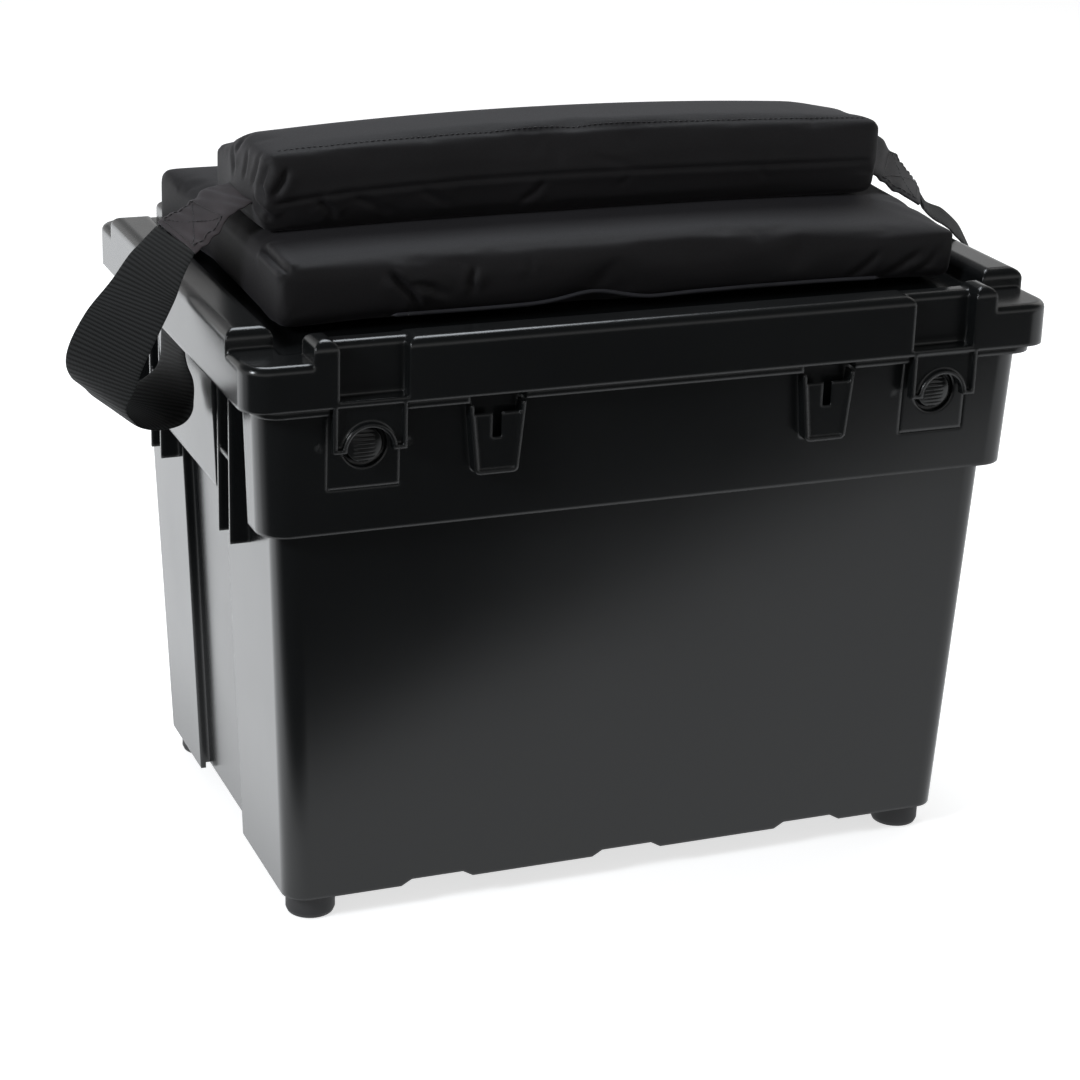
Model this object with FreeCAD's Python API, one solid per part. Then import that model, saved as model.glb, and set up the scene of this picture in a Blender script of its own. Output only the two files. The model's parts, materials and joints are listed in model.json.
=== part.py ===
import FreeCAD, Part
import math
import os

from FreeCAD import Vector

os.makedirs("parts", exist_ok=True)

# Driving sizes in millimetres. X runs across the seat, -Y is the front and Z = 0 is the ground.

# Plan and levels
lid_half_x = 230.0
lid_half_y = 160.0
lid_corner_radius = 14.0
foot_height = 18.5
body_height = 218.0
collar_height = 67.5
flange_thickness = 4.0
lid_rest_gap = 0.3
deck_rise = 22.2

# Lid
skirt_wall = 3.0
deck_thickness = 3.0
corner_block_rise = 1.5
rail_rise = 11.0
side_rail_rise = 12.0
cheek_rise = 13.0
rail_depth = 22.0
side_rail_width = 25.0
side_rail_end_gap = 36.0
rail_edge_radius = 5.0
side_rail_edge_radius = 6.0
lid_edge_radius = 4.0
rib_thickness = 2.5
rib_spacing_x = 100.0
rib_spacing_y = 70.0
rib_clearance = 0.3

# Tub
rim_drop = 3.5
floor_thickness = 3.0
tub_wall = 3.0
tub_corner_radius = 13.0
rim_rise = 7.5
collar_gap = 6.7
collar_draft = 2.9
collar_step = 8.9
body_draft = 8.5
flange_side_inset = 7.0
flange_front_inset = 2.5
flange_cut_margin = 1.0

# Sides of the tub
channel_front_y = -40.0
channel_back_y = 52.0
channel_depth = 5.5
panel_side_width = 17.0
window_end_inset = 42.0
window_top_gap = 1.5
core_top_gap = 4.5
core_end_gap = 8.0
fin_gap = 6.0
fin_spacing = 22.0
fin_thickness = 2.5
fin_depth = 10.5
fin_root = 1.2
fin_drop = 23.0
shelf_rise = 22.5
shelf_thickness = 2.5
shelf_margin = 0.6

# Base edge
notch_spacing = 114.0
notch_flat = 30.0
notch_chamfer = 6.0
gusset_length = 24.0
gusset_drop = 12.0
gusset_gap = 0.4

# Feet
foot_inset = 18.0
foot_radius = 13.7
foot_edge_radius = 3.0
foot_edge_share = 0.3
stud_radius = 4.9
stud_length = 11.0
stud_clearance = 0.1
stud_end_gap = 0.5
boss_wall = 3.0

# Accessory pockets on the front of the collar
pocket_x = 95.0
pocket_top_half = 15.5
pocket_bottom_half = 11.75
pocket_top_gap = 1.5
pocket_height = 38.0
pocket_depth = 7.6
pocket_corner_radius = 3.0
pocket_rim = 2.0
pocket_panel = 1.4
pocket_recess = 1.0
pocket_panel_drop = 5.3
pocket_gate_shoulder = 0.3
pocket_slot_half = 2.6
pocket_slot_depth = 13.0

# Latches
latch_side_inset = 65.5
latch_drop = 19.7
latch_plate_half = 19.3
latch_plate_drop = 23.2
latch_plate_top_gap = 0.5
fit_gap = 0.2
button_radius = 9.5
button_clearance = 0.1
button_inset = 0.4
button_crown = 1.6
button_travel = 4.0
button_groove_pitch = 2.2
button_groove_width = 0.8
button_groove_depth = 0.6
dish_radius = 12.25
dish_depth = 3.6
plate_boss_radius = 14.5
plate_boss_depth = 4.6
retainer_gap = 0.3
retainer_radius = 11.0
retainer_thickness = 1.6
stem_radius = 4.0
stem_clearance = 0.1
stem_reach = 1.6
catch_half_width = 5.0
catch_thickness = 2.5
catch_reach = 1.7
catch_roof = 1.6
catch_slot_gap = 0.35
catch_post_root = 3.0
housing_half_width = 20.0
housing_wall = 2.0
housing_roof = 1.2
housing_depth = 20.0
housing_floor_drop = 1.0
housing_top_gap = 0.4
housing_fit = 0.05
ear_width = 8.0
ear_thickness = 2.5
screw_radius = 1.6
screw_head_radius = 3.2
screw_head_height = 1.8
screw_head_chamfer = 0.7
screw_grip = 2.2
spring_radius = 5.6
spring_wire = 0.55
spring_turns = 4
wire_sides = 6

# Latch recesses and tabs of the lid
recess_inner_reach = 20.5
recess_outer_reach = 16.5
recess_depth = 9.0
recess_floor_rise = 3.2
recess_floor_thickness = 2.4
recess_wall = 2.5
rim_notch_gap = 1.5
rim_notch_depth = 4.0
cheek_width = 13.0
behind_rail_reach = 4.0
tab_half_width = 19.5
tab_depth = 5.5
tab_panel = 3.0
tab_rim = 2.0
tab_drop = 0.3
arch_clearance = 0.2
keeper_height = 3.4
catch_play = 0.3

# Hinges at the back
hinge_x = 120.0
hinge_inset = 7.0
hinge_drop = 8.8
knuckle_radius = 5.0
knuckle_length = 40.0
hinge_pin_radius = 2.5
hinge_clearance = 0.05
hinge_ear_length = 11.0
hinge_side_gap = 0.3
hinge_well_gap = 1.4
hinge_well_drop = 11.0
hinge_well_rise = 9.0
hinge_heel = 4.0
pin_head_radius = 3.2
pin_head_length = 1.5

# Lift-out tray
tray_height = 52.0
tray_wall = 2.5
tray_gap = 0.8
tray_side_gap = 2.5
tray_notch_gap = 3.0
tray_divider_drop = 4.0
tray_divider_xs = (-60.0, 70.0)

# Seat cushion and strap pad
soft_gap = 0.3
cover_thickness = 1.2
cushion_side_gap = 10.0
cushion_front_gap = 30.0
cushion_back_gap = 10.0
cushion_height = 39.0
cushion_crown = 7.5
cushion_crown_inset = 42.0
cushion_corner_radius = 16.0
cushion_pull = 3.0
cushion_seam_depth = 0.8
pad_left_gap = 9.0
pad_right_gap = 19.0
pad_front_gap = 54.0
pad_depth = 104.0
pad_height = 51.0
pad_crown = 8.0
pad_crown_inset = 22.0
pad_corner_radius = 14.0
pad_pull = 3.0
pad_seam_depth = 1.6
least_corner_radius = 4.0

# Carrying strap
webbing_width = 50.0
webbing_thickness = 2.0
tab_cloth_width = 52.0
tab_cloth_thickness = 3.0
anchor_plate_width = 56.0
anchor_plate_height = 11.0
anchor_plate_thickness = 1.5
anchor_pad_thickness = 3.0
anchor_drop = 1.5
anchor_fit = 0.05
anchor_corner_radius = 3.0
strap_screw_y = 15.0
strap_screw_radius = 2.0
strap_screw_grip = 4.5
strap_screw_clearance = 0.05
strap_head_radius = 4.0
strap_head_height = 1.6

# Allowances for building: how far a cut runs past a face, and a fused piece into its neighbour
past = 1.0
sunk = 0.5

# Levels that follow
base_z = foot_height - rim_drop
floor_z = foot_height
floor_top_z = floor_z + floor_thickness
collar_bottom_z = base_z + body_height
ledge_top_z = collar_bottom_z + tub_wall
flange_bottom_z = collar_bottom_z + collar_height
flange_top_z = flange_bottom_z + flange_thickness
rim_top_z = flange_top_z + rim_rise
skirt_bottom_z = flange_top_z + lid_rest_gap
recess_floor_z = skirt_bottom_z + recess_floor_rise
deck_top_z = skirt_bottom_z + deck_rise
deck_bottom_z = deck_top_z - deck_thickness
corner_top_z = deck_top_z + corner_block_rise
rail_top_z = deck_top_z + rail_rise
side_rail_top_z = deck_top_z + side_rail_rise
cheek_top_z = deck_top_z + cheek_rise
window_top_z = flange_bottom_z - window_top_gap
core_top_z = flange_bottom_z - core_top_gap
fin_bottom_z = collar_bottom_z - fin_drop
shelf_z = collar_bottom_z + shelf_rise
pocket_top_z = flange_bottom_z - pocket_top_gap
pocket_bottom_z = pocket_top_z - pocket_height
latch_z = flange_bottom_z - latch_drop
latch_plate_bottom_z = latch_z - latch_plate_drop
latch_plate_top_z = flange_top_z - latch_plate_top_gap
catch_top_z = latch_plate_top_z - 2 * catch_slot_gap - catch_roof
catch_bottom_z = catch_top_z - catch_thickness
keeper_top_z = catch_bottom_z - catch_play
hinge_z = skirt_bottom_z - hinge_drop
cushion_bottom_z = deck_top_z + soft_gap
cushion_top_z = cushion_bottom_z + cushion_height
pad_bottom_z = cushion_top_z + soft_gap

# Places that follow
collar_top_inset = skirt_wall + collar_gap
collar_bottom_inset = collar_top_inset + collar_draft
body_top_inset = collar_bottom_inset + collar_step
body_base_inset = body_top_inset + body_draft
inner_side_x = lid_half_x - body_top_inset - tub_wall
collar_inner_y = lid_half_y - collar_bottom_inset - tub_wall
collar_side_x = lid_half_x - collar_bottom_inset
deck_half_x = lid_half_x - side_rail_width
deck_half_y = lid_half_y - rail_depth
side_rail_half_length = lid_half_y - side_rail_end_gap
panel_half_width = panel_side_width - channel_front_y
window_end = lid_half_y - window_end_inset
fin_centres = (panel_half_width + fin_gap, panel_half_width + fin_gap + fin_spacing)
notch_centres = (-notch_spacing, 0.0, notch_spacing)
foot_x = lid_half_x - body_base_inset - foot_inset
foot_y = lid_half_y - body_base_inset - foot_inset
foot_places = [(sx * foot_x, sy * foot_y) for sy in (-1, 1) for sx in (-1, 1)]
latch_x = lid_half_x - latch_side_inset
recess_inner_x = latch_x - recess_inner_reach
recess_outer_x = latch_x + recess_outer_reach
arch_radius = dish_radius + arch_clearance
hinge_y = lid_half_y - hinge_inset
tray_wide_half = latch_x - housing_half_width - ear_width - tray_side_gap
cushion_half_x = deck_half_x - cushion_side_gap
cushion_front_y = -deck_half_y + cushion_front_gap
cushion_back_y = deck_half_y - cushion_back_gap
pad_left_x = -cushion_half_x + pad_left_gap
pad_right_x = cushion_half_x - pad_right_gap
pad_front_y = cushion_front_y + pad_front_gap
pad_back_y = pad_front_y + pad_depth
anchor_top_z = side_rail_top_z - skirt_wall - anchor_drop
anchor_z = anchor_top_z - anchor_plate_height / 2
hang_x = lid_half_x - skirt_wall - soft_gap - webbing_thickness / 2
anchor_x = hang_x - anchor_pad_thickness
anchor_face_x = anchor_x + webbing_thickness / 2 + soft_gap / 2


def face_y(z):
    """Distance from the middle to the collar's front face at height z."""
    share = (z - collar_bottom_z) / (rim_top_z - collar_bottom_z)
    return lid_half_y - collar_bottom_inset + collar_draft * share


def side_x(z):
    """Distance from the middle to the lower body's side face at height z."""
    share = (z - base_z) / (collar_bottom_z - base_z)
    return lid_half_x - body_base_inset + body_draft * share


def block(x0, x1, y0, y1, z0, z1):
    corner = Vector(min(x0, x1), min(y0, y1), min(z0, z1))
    return Part.makeBox(abs(x1 - x0), abs(y1 - y0), abs(z1 - z0), corner)


def rod(start, direction, radius, length):
    return Part.makeCylinder(radius, length, Vector(*start), Vector(*direction))


def rounded_outline(half_x, half_y, radius, z):
    """A rectangle with rounded corners, centred on the Z axis."""
    edges = []
    corners = [(1, 1), (-1, 1), (-1, -1), (1, -1)]
    ends = []
    for sx, sy in corners:
        centre = Vector(sx * (half_x - radius), sy * (half_y - radius), z)
        along_x = centre + Vector(sx * radius, 0, 0)
        along_y = centre + Vector(0, sy * radius, 0)
        middle = centre + Vector(sx * radius, sy * radius, 0) * math.sqrt(0.5)
        first, last = (along_x, along_y) if sx * sy > 0 else (along_y, along_x)
        ends.append((first, middle, last))
    for index, (first, middle, last) in enumerate(ends):
        edges.append(Part.Arc(first, middle, last).toShape())
        following = ends[(index + 1) % len(ends)][0]
        edges.append(Part.LineSegment(last, following).toShape())
    return Part.Wire(edges)


def tapered(half_x0, half_y0, radius0, z0, half_x1, half_y1, radius1, z1):
    """A solid between two rounded rectangles, with straight drafted sides."""
    low = rounded_outline(half_x0, half_y0, radius0, z0)
    high = rounded_outline(half_x1, half_y1, radius1, z1)
    return Part.makeLoft([low, high], True, True)


def inset_box(low_inset, high_inset, radius, z0, z1):
    """A drafted box whose sides lie these distances inside the lid's outline."""
    low = (lid_half_x - low_inset, lid_half_y - low_inset, radius, z0)
    high = (lid_half_x - high_inset, lid_half_y - high_inset, radius, z1)
    return tapered(*low, *high)


def ring(inset, thickness, radius, z0, z1):
    """An upright rectangular frame this far inside the lid's outline."""
    outer = inset_box(inset, inset, radius, z0, z1)
    inner_inset = inset + thickness
    return outer.cut(inset_box(inner_inset, inner_inset, radius - thickness, z0 - past, z1 + past))


def prism_y(points, y0, y1):
    """A polygon in the XZ plane, carried from y0 to y1."""
    corners = [Vector(x, y0, z) for x, z in points]
    face = Part.Face(Part.makePolygon(corners + corners[:1]))
    return face.extrude(Vector(0, y1 - y0, 0))


def prism_x(points, x0, x1):
    """A polygon in the YZ plane, carried from x0 to x1."""
    corners = [Vector(x0, y, z) for y, z in points]
    face = Part.Face(Part.makePolygon(corners + corners[:1]))
    return face.extrude(Vector(x1 - x0, 0, 0))


def round_edges(shape, radius, wanted):
    """Rounds the edges for which wanted(start, end) holds."""
    edges = [e for e in shape.Edges if wanted(e.Vertexes[0].Point, e.Vertexes[-1].Point)]
    return shape.makeFillet(radius, edges)


def top_edges_of(shape, radius):
    top = shape.BoundBox.ZMax
    return round_edges(shape, radius, lambda a, b: abs(a.z - top) < 0.01 and abs(b.z - top) < 0.01)


def upright_edges_of(shape, radius):
    def upright(a, b):
        return abs(a.z - b.z) > 0.5 and abs(a.x - b.x) < 0.1 and abs(a.y - b.y) < 0.1

    return round_edges(shape, radius, upright)


def fuse_all(shapes):
    return shapes[0].multiFuse(shapes[1:]) if len(shapes) > 1 else shapes[0]


def mirrored(shape):
    """The same piece on the other side of the YZ plane."""
    return shape.mirror(Vector(0, 0, 0), Vector(1, 0, 0))


def both_sides(shapes):
    return list(shapes) + [mirrored(s) for s in shapes]


def front_and_back(shapes):
    return list(shapes) + [s.mirror(Vector(0, 0, 0), Vector(0, 1, 0)) for s in shapes]


def save(name, shape):
    """Writes one node, whole, and prints its solids and volume."""
    solids = shape.Solids
    whole = solids[0] if len(solids) == 1 else Part.makeCompound(solids)
    print(f"{name}: {len(solids)} solid, {whole.Volume / 1000:.2f} cm3, valid {whole.isValid()}")
    whole.exportStep(f"parts/{name}.step")


# The tub

def side_channel(extra, z0, z1):
    """The upright channel in one side, widened and deepened by extra."""
    low, high = [(side_x(z) - channel_depth - extra, z) for z in (z0, z1)]
    profile = [low, high, (lid_half_x, z1), (lid_half_x, z0)]
    return prism_y(profile, channel_front_y - extra, channel_back_y + extra)


def accessory_pocket():
    """A tapered open-topped pocket on the collar's front, with a slotted front panel."""
    front = -face_y(pocket_top_z) - pocket_depth
    wall = -face_y(pocket_bottom_z) + tub_wall / 2

    def outline(inset, top_z):
        low = pocket_bottom_z + inset
        return [
            (pocket_x - pocket_top_half + inset, top_z),
            (pocket_x - pocket_bottom_half + inset, low),
            (pocket_x + pocket_bottom_half - inset, low),
            (pocket_x + pocket_top_half - inset, top_z),
        ]

    def lower_corner(a, b):
        return abs(a.y - b.y) > 1 and abs(a.z - pocket_bottom_z) < 0.1 and abs(b.z - a.z) < 0.1

    shell = prism_y(outline(0, pocket_top_z), front, wall)
    shell = round_edges(shell, pocket_corner_radius, lower_corner)
    over = pocket_top_z + past
    panel_front = front + pocket_recess
    panel_back = panel_front + pocket_panel
    hollow = prism_y(outline(pocket_rim, over), panel_back, -face_y(pocket_top_z))
    dip = prism_y(outline(pocket_rim, over), front - past, panel_front)
    panel_top_z = pocket_top_z - pocket_panel_drop

    def through_panel(half, low):
        return block(pocket_x - half, pocket_x + half, front - past, panel_back + past, low, over)

    gate = through_panel(pocket_top_half - pocket_rim - pocket_gate_shoulder, panel_top_z)
    slot = through_panel(pocket_slot_half, panel_top_z - pocket_slot_depth)
    return shell.cut([hollow, dip, gate, slot])


def hinge_ear(x0, x1):
    """One ear of the tub that carries a hinge pin."""
    barrel = rod((x0, hinge_y, hinge_z), (1, 0, 0), knuckle_radius, x1 - x0)
    root_y = face_y(hinge_z) - tub_wall
    web = block(x0, x1, root_y, hinge_y, hinge_z - knuckle_radius, hinge_z + knuckle_radius)
    low_z = hinge_z - knuckle_radius
    brace = prism_x([(root_y, hinge_z), (hinge_y, low_z), (root_y, low_z - 3 * knuckle_radius)], x0, x1)
    return fuse_all([barrel, web, brace])


def hinge_span():
    half = knuckle_length / 2 + hinge_side_gap
    return hinge_x - half, hinge_x + half


def collar_solid():
    radius = tub_corner_radius + tub_wall
    return inset_box(collar_bottom_inset, collar_top_inset, radius, collar_bottom_z, rim_top_z)


def collar_cavity(shrink, z0, z1):
    """The room inside the collar, one wall behind its drafted face and drawn in by shrink."""
    radius = tub_corner_radius - tub_wall
    low = (inner_side_x, face_y(z0) - tub_wall - shrink, radius, z0)
    high = (inner_side_x, face_y(z1) - tub_wall - shrink, radius, z1)
    return tapered(*low, *high)


def over_flange(x, half):
    """A cut through the front flange, this far to each side of x."""
    low, high = flange_bottom_z - past, flange_top_z + past
    return block(x - half, x + half, -lid_half_y, -collar_inner_y, low, high)


def outer_form():
    """The tub's outside: a drafted body, a wider collar and a flange that the lid closes on."""
    body = inset_box(body_base_inset, body_top_inset, tub_corner_radius, base_z, collar_bottom_z)
    plan = (lid_half_x - flange_side_inset, lid_half_y - flange_front_inset, lid_corner_radius)
    flange = tapered(*plan, flange_bottom_z, *plan, flange_top_z)
    low, high = flange_bottom_z - past, flange_top_z + past
    over_window = block(collar_side_x, lid_half_x, -window_end, window_end, low, high)
    ear_room = knuckle_length / 2 + hinge_ear_length + 2 * flange_cut_margin
    over_hinge = block(hinge_x - ear_room, hinge_x + ear_room, collar_inner_y, lid_half_y, low, high)
    over_tab = over_flange(latch_x, tab_half_width + flange_cut_margin)
    over_pocket = over_flange(pocket_x, pocket_top_half)
    flange = flange.cut(both_sides([over_window, over_hinge, over_tab, over_pocket]))
    return fuse_all([body, collar_solid(), flange])


def hinge_box(extra, y0, y1):
    """The space round one hinge, widened all round by extra."""
    half = knuckle_length / 2 + (hinge_ear_length if extra else hinge_side_gap)
    low, high = hinge_z - hinge_well_drop - extra, hinge_z + hinge_well_rise + extra
    return block(hinge_x - half, hinge_x + half, y0, y1, low, high)


def hollows():
    """The room for tackle below the ledges and the wider room inside the collar."""
    low_inset, high_inset = body_base_inset + tub_wall, body_top_inset + tub_wall
    lower = inset_box(low_inset, high_inset, tub_corner_radius - tub_wall, floor_top_z, ledge_top_z)
    lower = lower.cut(both_sides([side_channel(tub_wall, base_z - past, ledge_top_z + past)]))
    upper = collar_cavity(0.0, ledge_top_z, rim_top_z + past)
    backing = hinge_box(tub_wall, hinge_well_y() - tub_wall, face_y(hinge_z))
    return [lower, upper.cut(both_sides([backing]))]


def hinge_well_y():
    """The floor of the well that the lid's knuckle turns in."""
    return face_y(hinge_z) - tub_wall - hinge_well_gap


def side_windows():
    """The openings in the collar's sides and the cores behind its panels."""
    wall_x = inner_side_x + tub_wall
    core_x = collar_side_x - tub_wall
    low = collar_bottom_z - past
    window = block(wall_x, lid_half_x, panel_half_width, window_end, low, window_top_z)
    half = panel_half_width - tub_wall
    panel_core = block(wall_x, core_x, -half, half, low, core_top_z)
    corner_end = collar_inner_y - core_end_gap
    corner_core = block(wall_x, core_x, window_end + tub_wall, corner_end, low, core_top_z)
    return both_sides([panel_core] + front_and_back([window, corner_core]))


def base_notches():
    """Shallow trapezoid notches in the front and back of the base edge."""
    edge_y = lid_half_y - body_base_inset
    half = notch_flat / 2
    low_half = half + notch_chamfer
    notches = []
    for centre in notch_centres:
        low, high = base_z - past / 100, floor_z
        left = [(centre - low_half, low), (centre - half, high)]
        points = left + [(centre + half, high), (centre + low_half, low)]
        notches.append(prism_y(points, -edge_y - past, -edge_y + tub_wall + past))
    return front_and_back(notches)


def latch_openings():
    """The window for one latch plate, and the notch in the rim that clears the lid's recess."""
    half = latch_plate_half + fit_gap
    window = block(
        latch_x - half, latch_x + half, -lid_half_y, -collar_inner_y + sunk,
        latch_plate_bottom_z - fit_gap, flange_top_z,
    )
    notch = block(
        recess_inner_x - recess_wall - rim_notch_gap, recess_outer_x + cheek_width / 2,
        -lid_half_y, -collar_inner_y + rim_notch_depth, flange_top_z, rim_top_z + past,
    )
    return [window, notch]


def side_fins():
    """Two fins and the shelf between them, at the front and back of one side."""
    root_x = side_x(fin_bottom_z)
    pieces = []
    start_x, end_x = root_x - fin_root, root_x + fin_depth
    half = fin_thickness / 2
    for centre in fin_centres:
        pieces.append(block(start_x, end_x, centre - half, centre + half, fin_bottom_z, window_top_z))
    pieces.append(block(start_x, end_x - shelf_margin, *fin_centres, shelf_z, shelf_z + shelf_thickness))
    return front_and_back(pieces)


def foot_bosses():
    """The bosses for the feet's studs, with a gusset under the floor beside each, and their holes."""
    bosses = []
    holes = []
    for x, y in foot_places:
        height = stud_length + boss_wall
        bosses.append(rod((x, y, floor_z + sunk), (0, 0, 1), stud_radius + boss_wall, height - sunk))
        hole_length = stud_length + stud_end_gap + past
        holes.append(rod((x, y, floor_z - past), (0, 0, 1), stud_radius + stud_clearance, hole_length))
        side = math.copysign(1, x)
        start = x - side * (foot_radius + gusset_gap)
        end = start - side * gusset_length
        corners = [(start, floor_z + sunk), (start, floor_z - gusset_drop), (end, floor_z + sunk)]
        bosses.append(prism_y(corners, y - tub_wall / 2, y + tub_wall / 2))
    return bosses, holes


def tub():
    shell = outer_form().cut(hollows())
    inset = body_base_inset + tub_wall
    under = inset_box(inset, inset, tub_corner_radius - tub_wall, base_z - past, floor_z)
    channel = side_channel(0, base_z - past, collar_bottom_z)
    well = hinge_box(0, hinge_well_y(), lid_half_y)
    cuts = [under] + side_windows() + base_notches()
    cuts += both_sides([channel, well] + latch_openings())
    shell = shell.cut(cuts)
    x0, x1 = hinge_span()
    ears = [hinge_ear(x0 - hinge_ear_length, x0), hinge_ear(x1, x1 + hinge_ear_length)]
    bosses, holes = foot_bosses()
    shell = fuse_all([shell] + both_sides([accessory_pocket()] + side_fins() + ears) + bosses)
    reach = hinge_ear_length + past
    pin_bore = rod((x0 - reach, hinge_y, hinge_z), (1, 0, 0), hinge_pin_radius, x1 - x0 + 2 * reach)
    drilled = [pin_bore] + [screw_hole(x) for x in screw_xs()]
    return shell.cut(holes + both_sides(drilled))


# Feet

def foot(x, y):
    """A round foot, turned with two small bevels below, and a stud that plugs into its boss."""
    inner = foot_radius - foot_edge_radius
    middle = foot_radius - foot_edge_radius * foot_edge_share
    profile = [(0, 0), (inner, 0), (middle, foot_edge_radius * foot_edge_share)]
    profile += [(foot_radius, foot_edge_radius), (foot_radius, foot_height), (0, foot_height)]
    corners = [Vector(x + out, y, up) for out, up in profile]
    section = Part.Face(Part.makePolygon(corners + corners[:1]))
    pad = section.revolve(Vector(x, y, 0), Vector(0, 0, 1), 360)
    stud = Part.makeCylinder(stud_radius, stud_length + sunk, Vector(x, y, foot_height - sunk))
    return pad.fuse(stud)


# Latches. Each is drawn on the right and mirrored to the left.

def screw_xs():
    reach = housing_half_width + ear_width / 2
    return (latch_x - reach, latch_x + reach)


def wall_shell():
    """The collar's own wall, as thick as the tub."""
    return collar_solid().cut(collar_cavity(0.0, collar_bottom_z, rim_top_z))


def latch_plate():
    """The flush plate with a dished button hole and a slot for the catch."""
    half = latch_plate_half
    low, high = latch_plate_bottom_z, latch_plate_top_z
    window = block(latch_x - half, latch_x + half, -lid_half_y, -collar_inner_y + past, low, high)
    plate = wall_shell().common(window)
    front = -face_y(latch_z)
    boss = rod((latch_x, front + past, latch_z), (0, 1, 0), plate_boss_radius, plate_back_y() - front - past)
    outside = front - 3 * past
    dish = rod((latch_x, outside, latch_z), (0, 1, 0), dish_radius, dish_depth + front - outside)
    bore = rod((latch_x, outside, latch_z), (0, 1, 0), button_radius + button_clearance, housing_depth)
    reach = catch_half_width + catch_slot_gap
    slot = block(
        latch_x - reach, latch_x + reach, -lid_half_y, plate_back_y() + past,
        catch_bottom_z - catch_slot_gap, catch_top_z + catch_slot_gap,
    )
    return plate.fuse(boss).cut([dish, bore, slot])


def plate_back_y():
    """The back of the boss round the button's bore."""
    return -face_y(latch_z) + tub_wall + plate_boss_depth


def button_grooves(edge_y, crown_radius):
    """Shallow grooves across the button's crowned face, each following the crown's depth."""
    grooves = []
    rows = int(button_radius / button_groove_pitch)
    for row in range(-rows, rows + 1):
        z = latch_z + row * button_groove_pitch
        crown_y = edge_y - button_crown + (z - latch_z) ** 2 / (2 * crown_radius)
        low, high = z - button_groove_width / 2, z + button_groove_width / 2
        left, right = latch_x - button_radius, latch_x + button_radius
        front = edge_y - button_crown - past
        grooves.append(block(left, right, front, crown_y + button_groove_depth, low, high))
    return grooves


def button():
    """The push button, one moulding with its retaining rim, stem and catch."""
    edge_y = -face_y(latch_z) + button_inset
    rim_y = plate_back_y() + retainer_gap
    head = rod((latch_x, edge_y, latch_z), (0, 1, 0), button_radius, rim_y - edge_y + sunk)
    crown_radius = (button_radius**2 + button_crown**2) / (2 * button_crown)
    ball = Part.makeSphere(crown_radius, Vector(latch_x, edge_y - button_crown + crown_radius, latch_z))
    front = edge_y - button_crown - past
    cap = ball.common(rod((latch_x, front, latch_z), (0, 1, 0), button_radius, edge_y - front + sunk))
    grooves = button_grooves(edge_y, crown_radius)
    rim = rod((latch_x, rim_y, latch_z), (0, 1, 0), retainer_radius, retainer_thickness)
    stem_start = rim_y + retainer_thickness - sunk
    stem_end = housing_back_y() + housing_wall + stem_reach
    stem = rod((latch_x, stem_start, latch_z), (0, 1, 0), stem_radius, stem_end - stem_start)
    left, right = latch_x - catch_half_width, latch_x + catch_half_width
    post_low = latch_z + button_radius - catch_post_root
    post = block(left, right, rim_y, rim_y + catch_thickness, post_low, catch_top_z)
    catch_front = -face_y(catch_top_z) - catch_reach
    catch = block(left, right, catch_front, rim_y + past, catch_bottom_z, catch_top_z)
    return fuse_all([head.cut(grooves), cap.cut(grooves), rim, stem, post, catch])


def housing_back_y():
    """The inner face of the housing's back wall."""
    return -face_y(latch_z) + tub_wall + housing_depth - housing_wall


def latch_housing():
    """The box behind the plate that guides the stem and seats the spring."""
    back = housing_back_y()
    half = housing_half_width
    low = latch_plate_bottom_z - housing_floor_drop
    high = flange_top_z - housing_top_gap
    outer = block(latch_x - half, latch_x + half, -lid_half_y, back + housing_wall, low, high)
    left, right = latch_x - half + housing_wall, latch_x + half - housing_wall
    inner = block(left, right, -lid_half_y - past, back, low + housing_wall, high - housing_roof)
    reach = half + ear_width
    ear_back = -face_y(latch_z) + tub_wall + ear_thickness
    ear_low, ear_high = latch_z - ear_width, latch_z + ear_width
    ears = block(latch_x - reach, latch_x + reach, -lid_half_y, ear_back, ear_low, ear_high).cut(inner)
    behind = collar_cavity(housing_fit, collar_bottom_z, rim_top_z)
    guide_radius = stem_radius + stem_clearance
    guide = rod((latch_x, back - past, latch_z), (0, 1, 0), guide_radius, housing_wall + 2 * past)
    drilled = [screw_hole(x) for x in screw_xs()]
    return outer.cut(inner).fuse(ears).common(behind).cut([guide] + drilled)


def screw_hole(x):
    """A hole through one ear and part of the collar's wall."""
    start = -face_y(latch_z) + tub_wall - screw_grip
    return rod((x, start, latch_z), (0, 1, 0), screw_radius, screw_grip + ear_thickness + past)


def headed_screw(point, direction, radius, grip, head_radius, head_height):
    """A plain shank of length grip, and a chamfered pan head beyond it."""
    start = Vector(*point)
    way = Vector(*direction)
    shank = Part.makeCylinder(radius, grip + sunk, start, way)
    head_start = start + way * grip
    flat_height = head_height - screw_head_chamfer
    head = Part.makeCylinder(head_radius, flat_height, head_start, way)
    top_radius = head_radius - screw_head_chamfer
    top = Part.makeCone(head_radius, top_radius, screw_head_chamfer, head_start + way * flat_height, way)
    return fuse_all([shank, head, top])


def latch_screws():
    """Pan-headed screws through the housings' ears, two to each."""
    start_y = -face_y(latch_z) + tub_wall - screw_grip
    grip = screw_grip + ear_thickness
    sizes = (screw_radius, grip, screw_head_radius, screw_head_height)
    screws = [headed_screw((x, start_y, latch_z), (0, 1, 0), *sizes) for x in screw_xs()]
    return Part.makeCompound(both_sides(screws))


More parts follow.
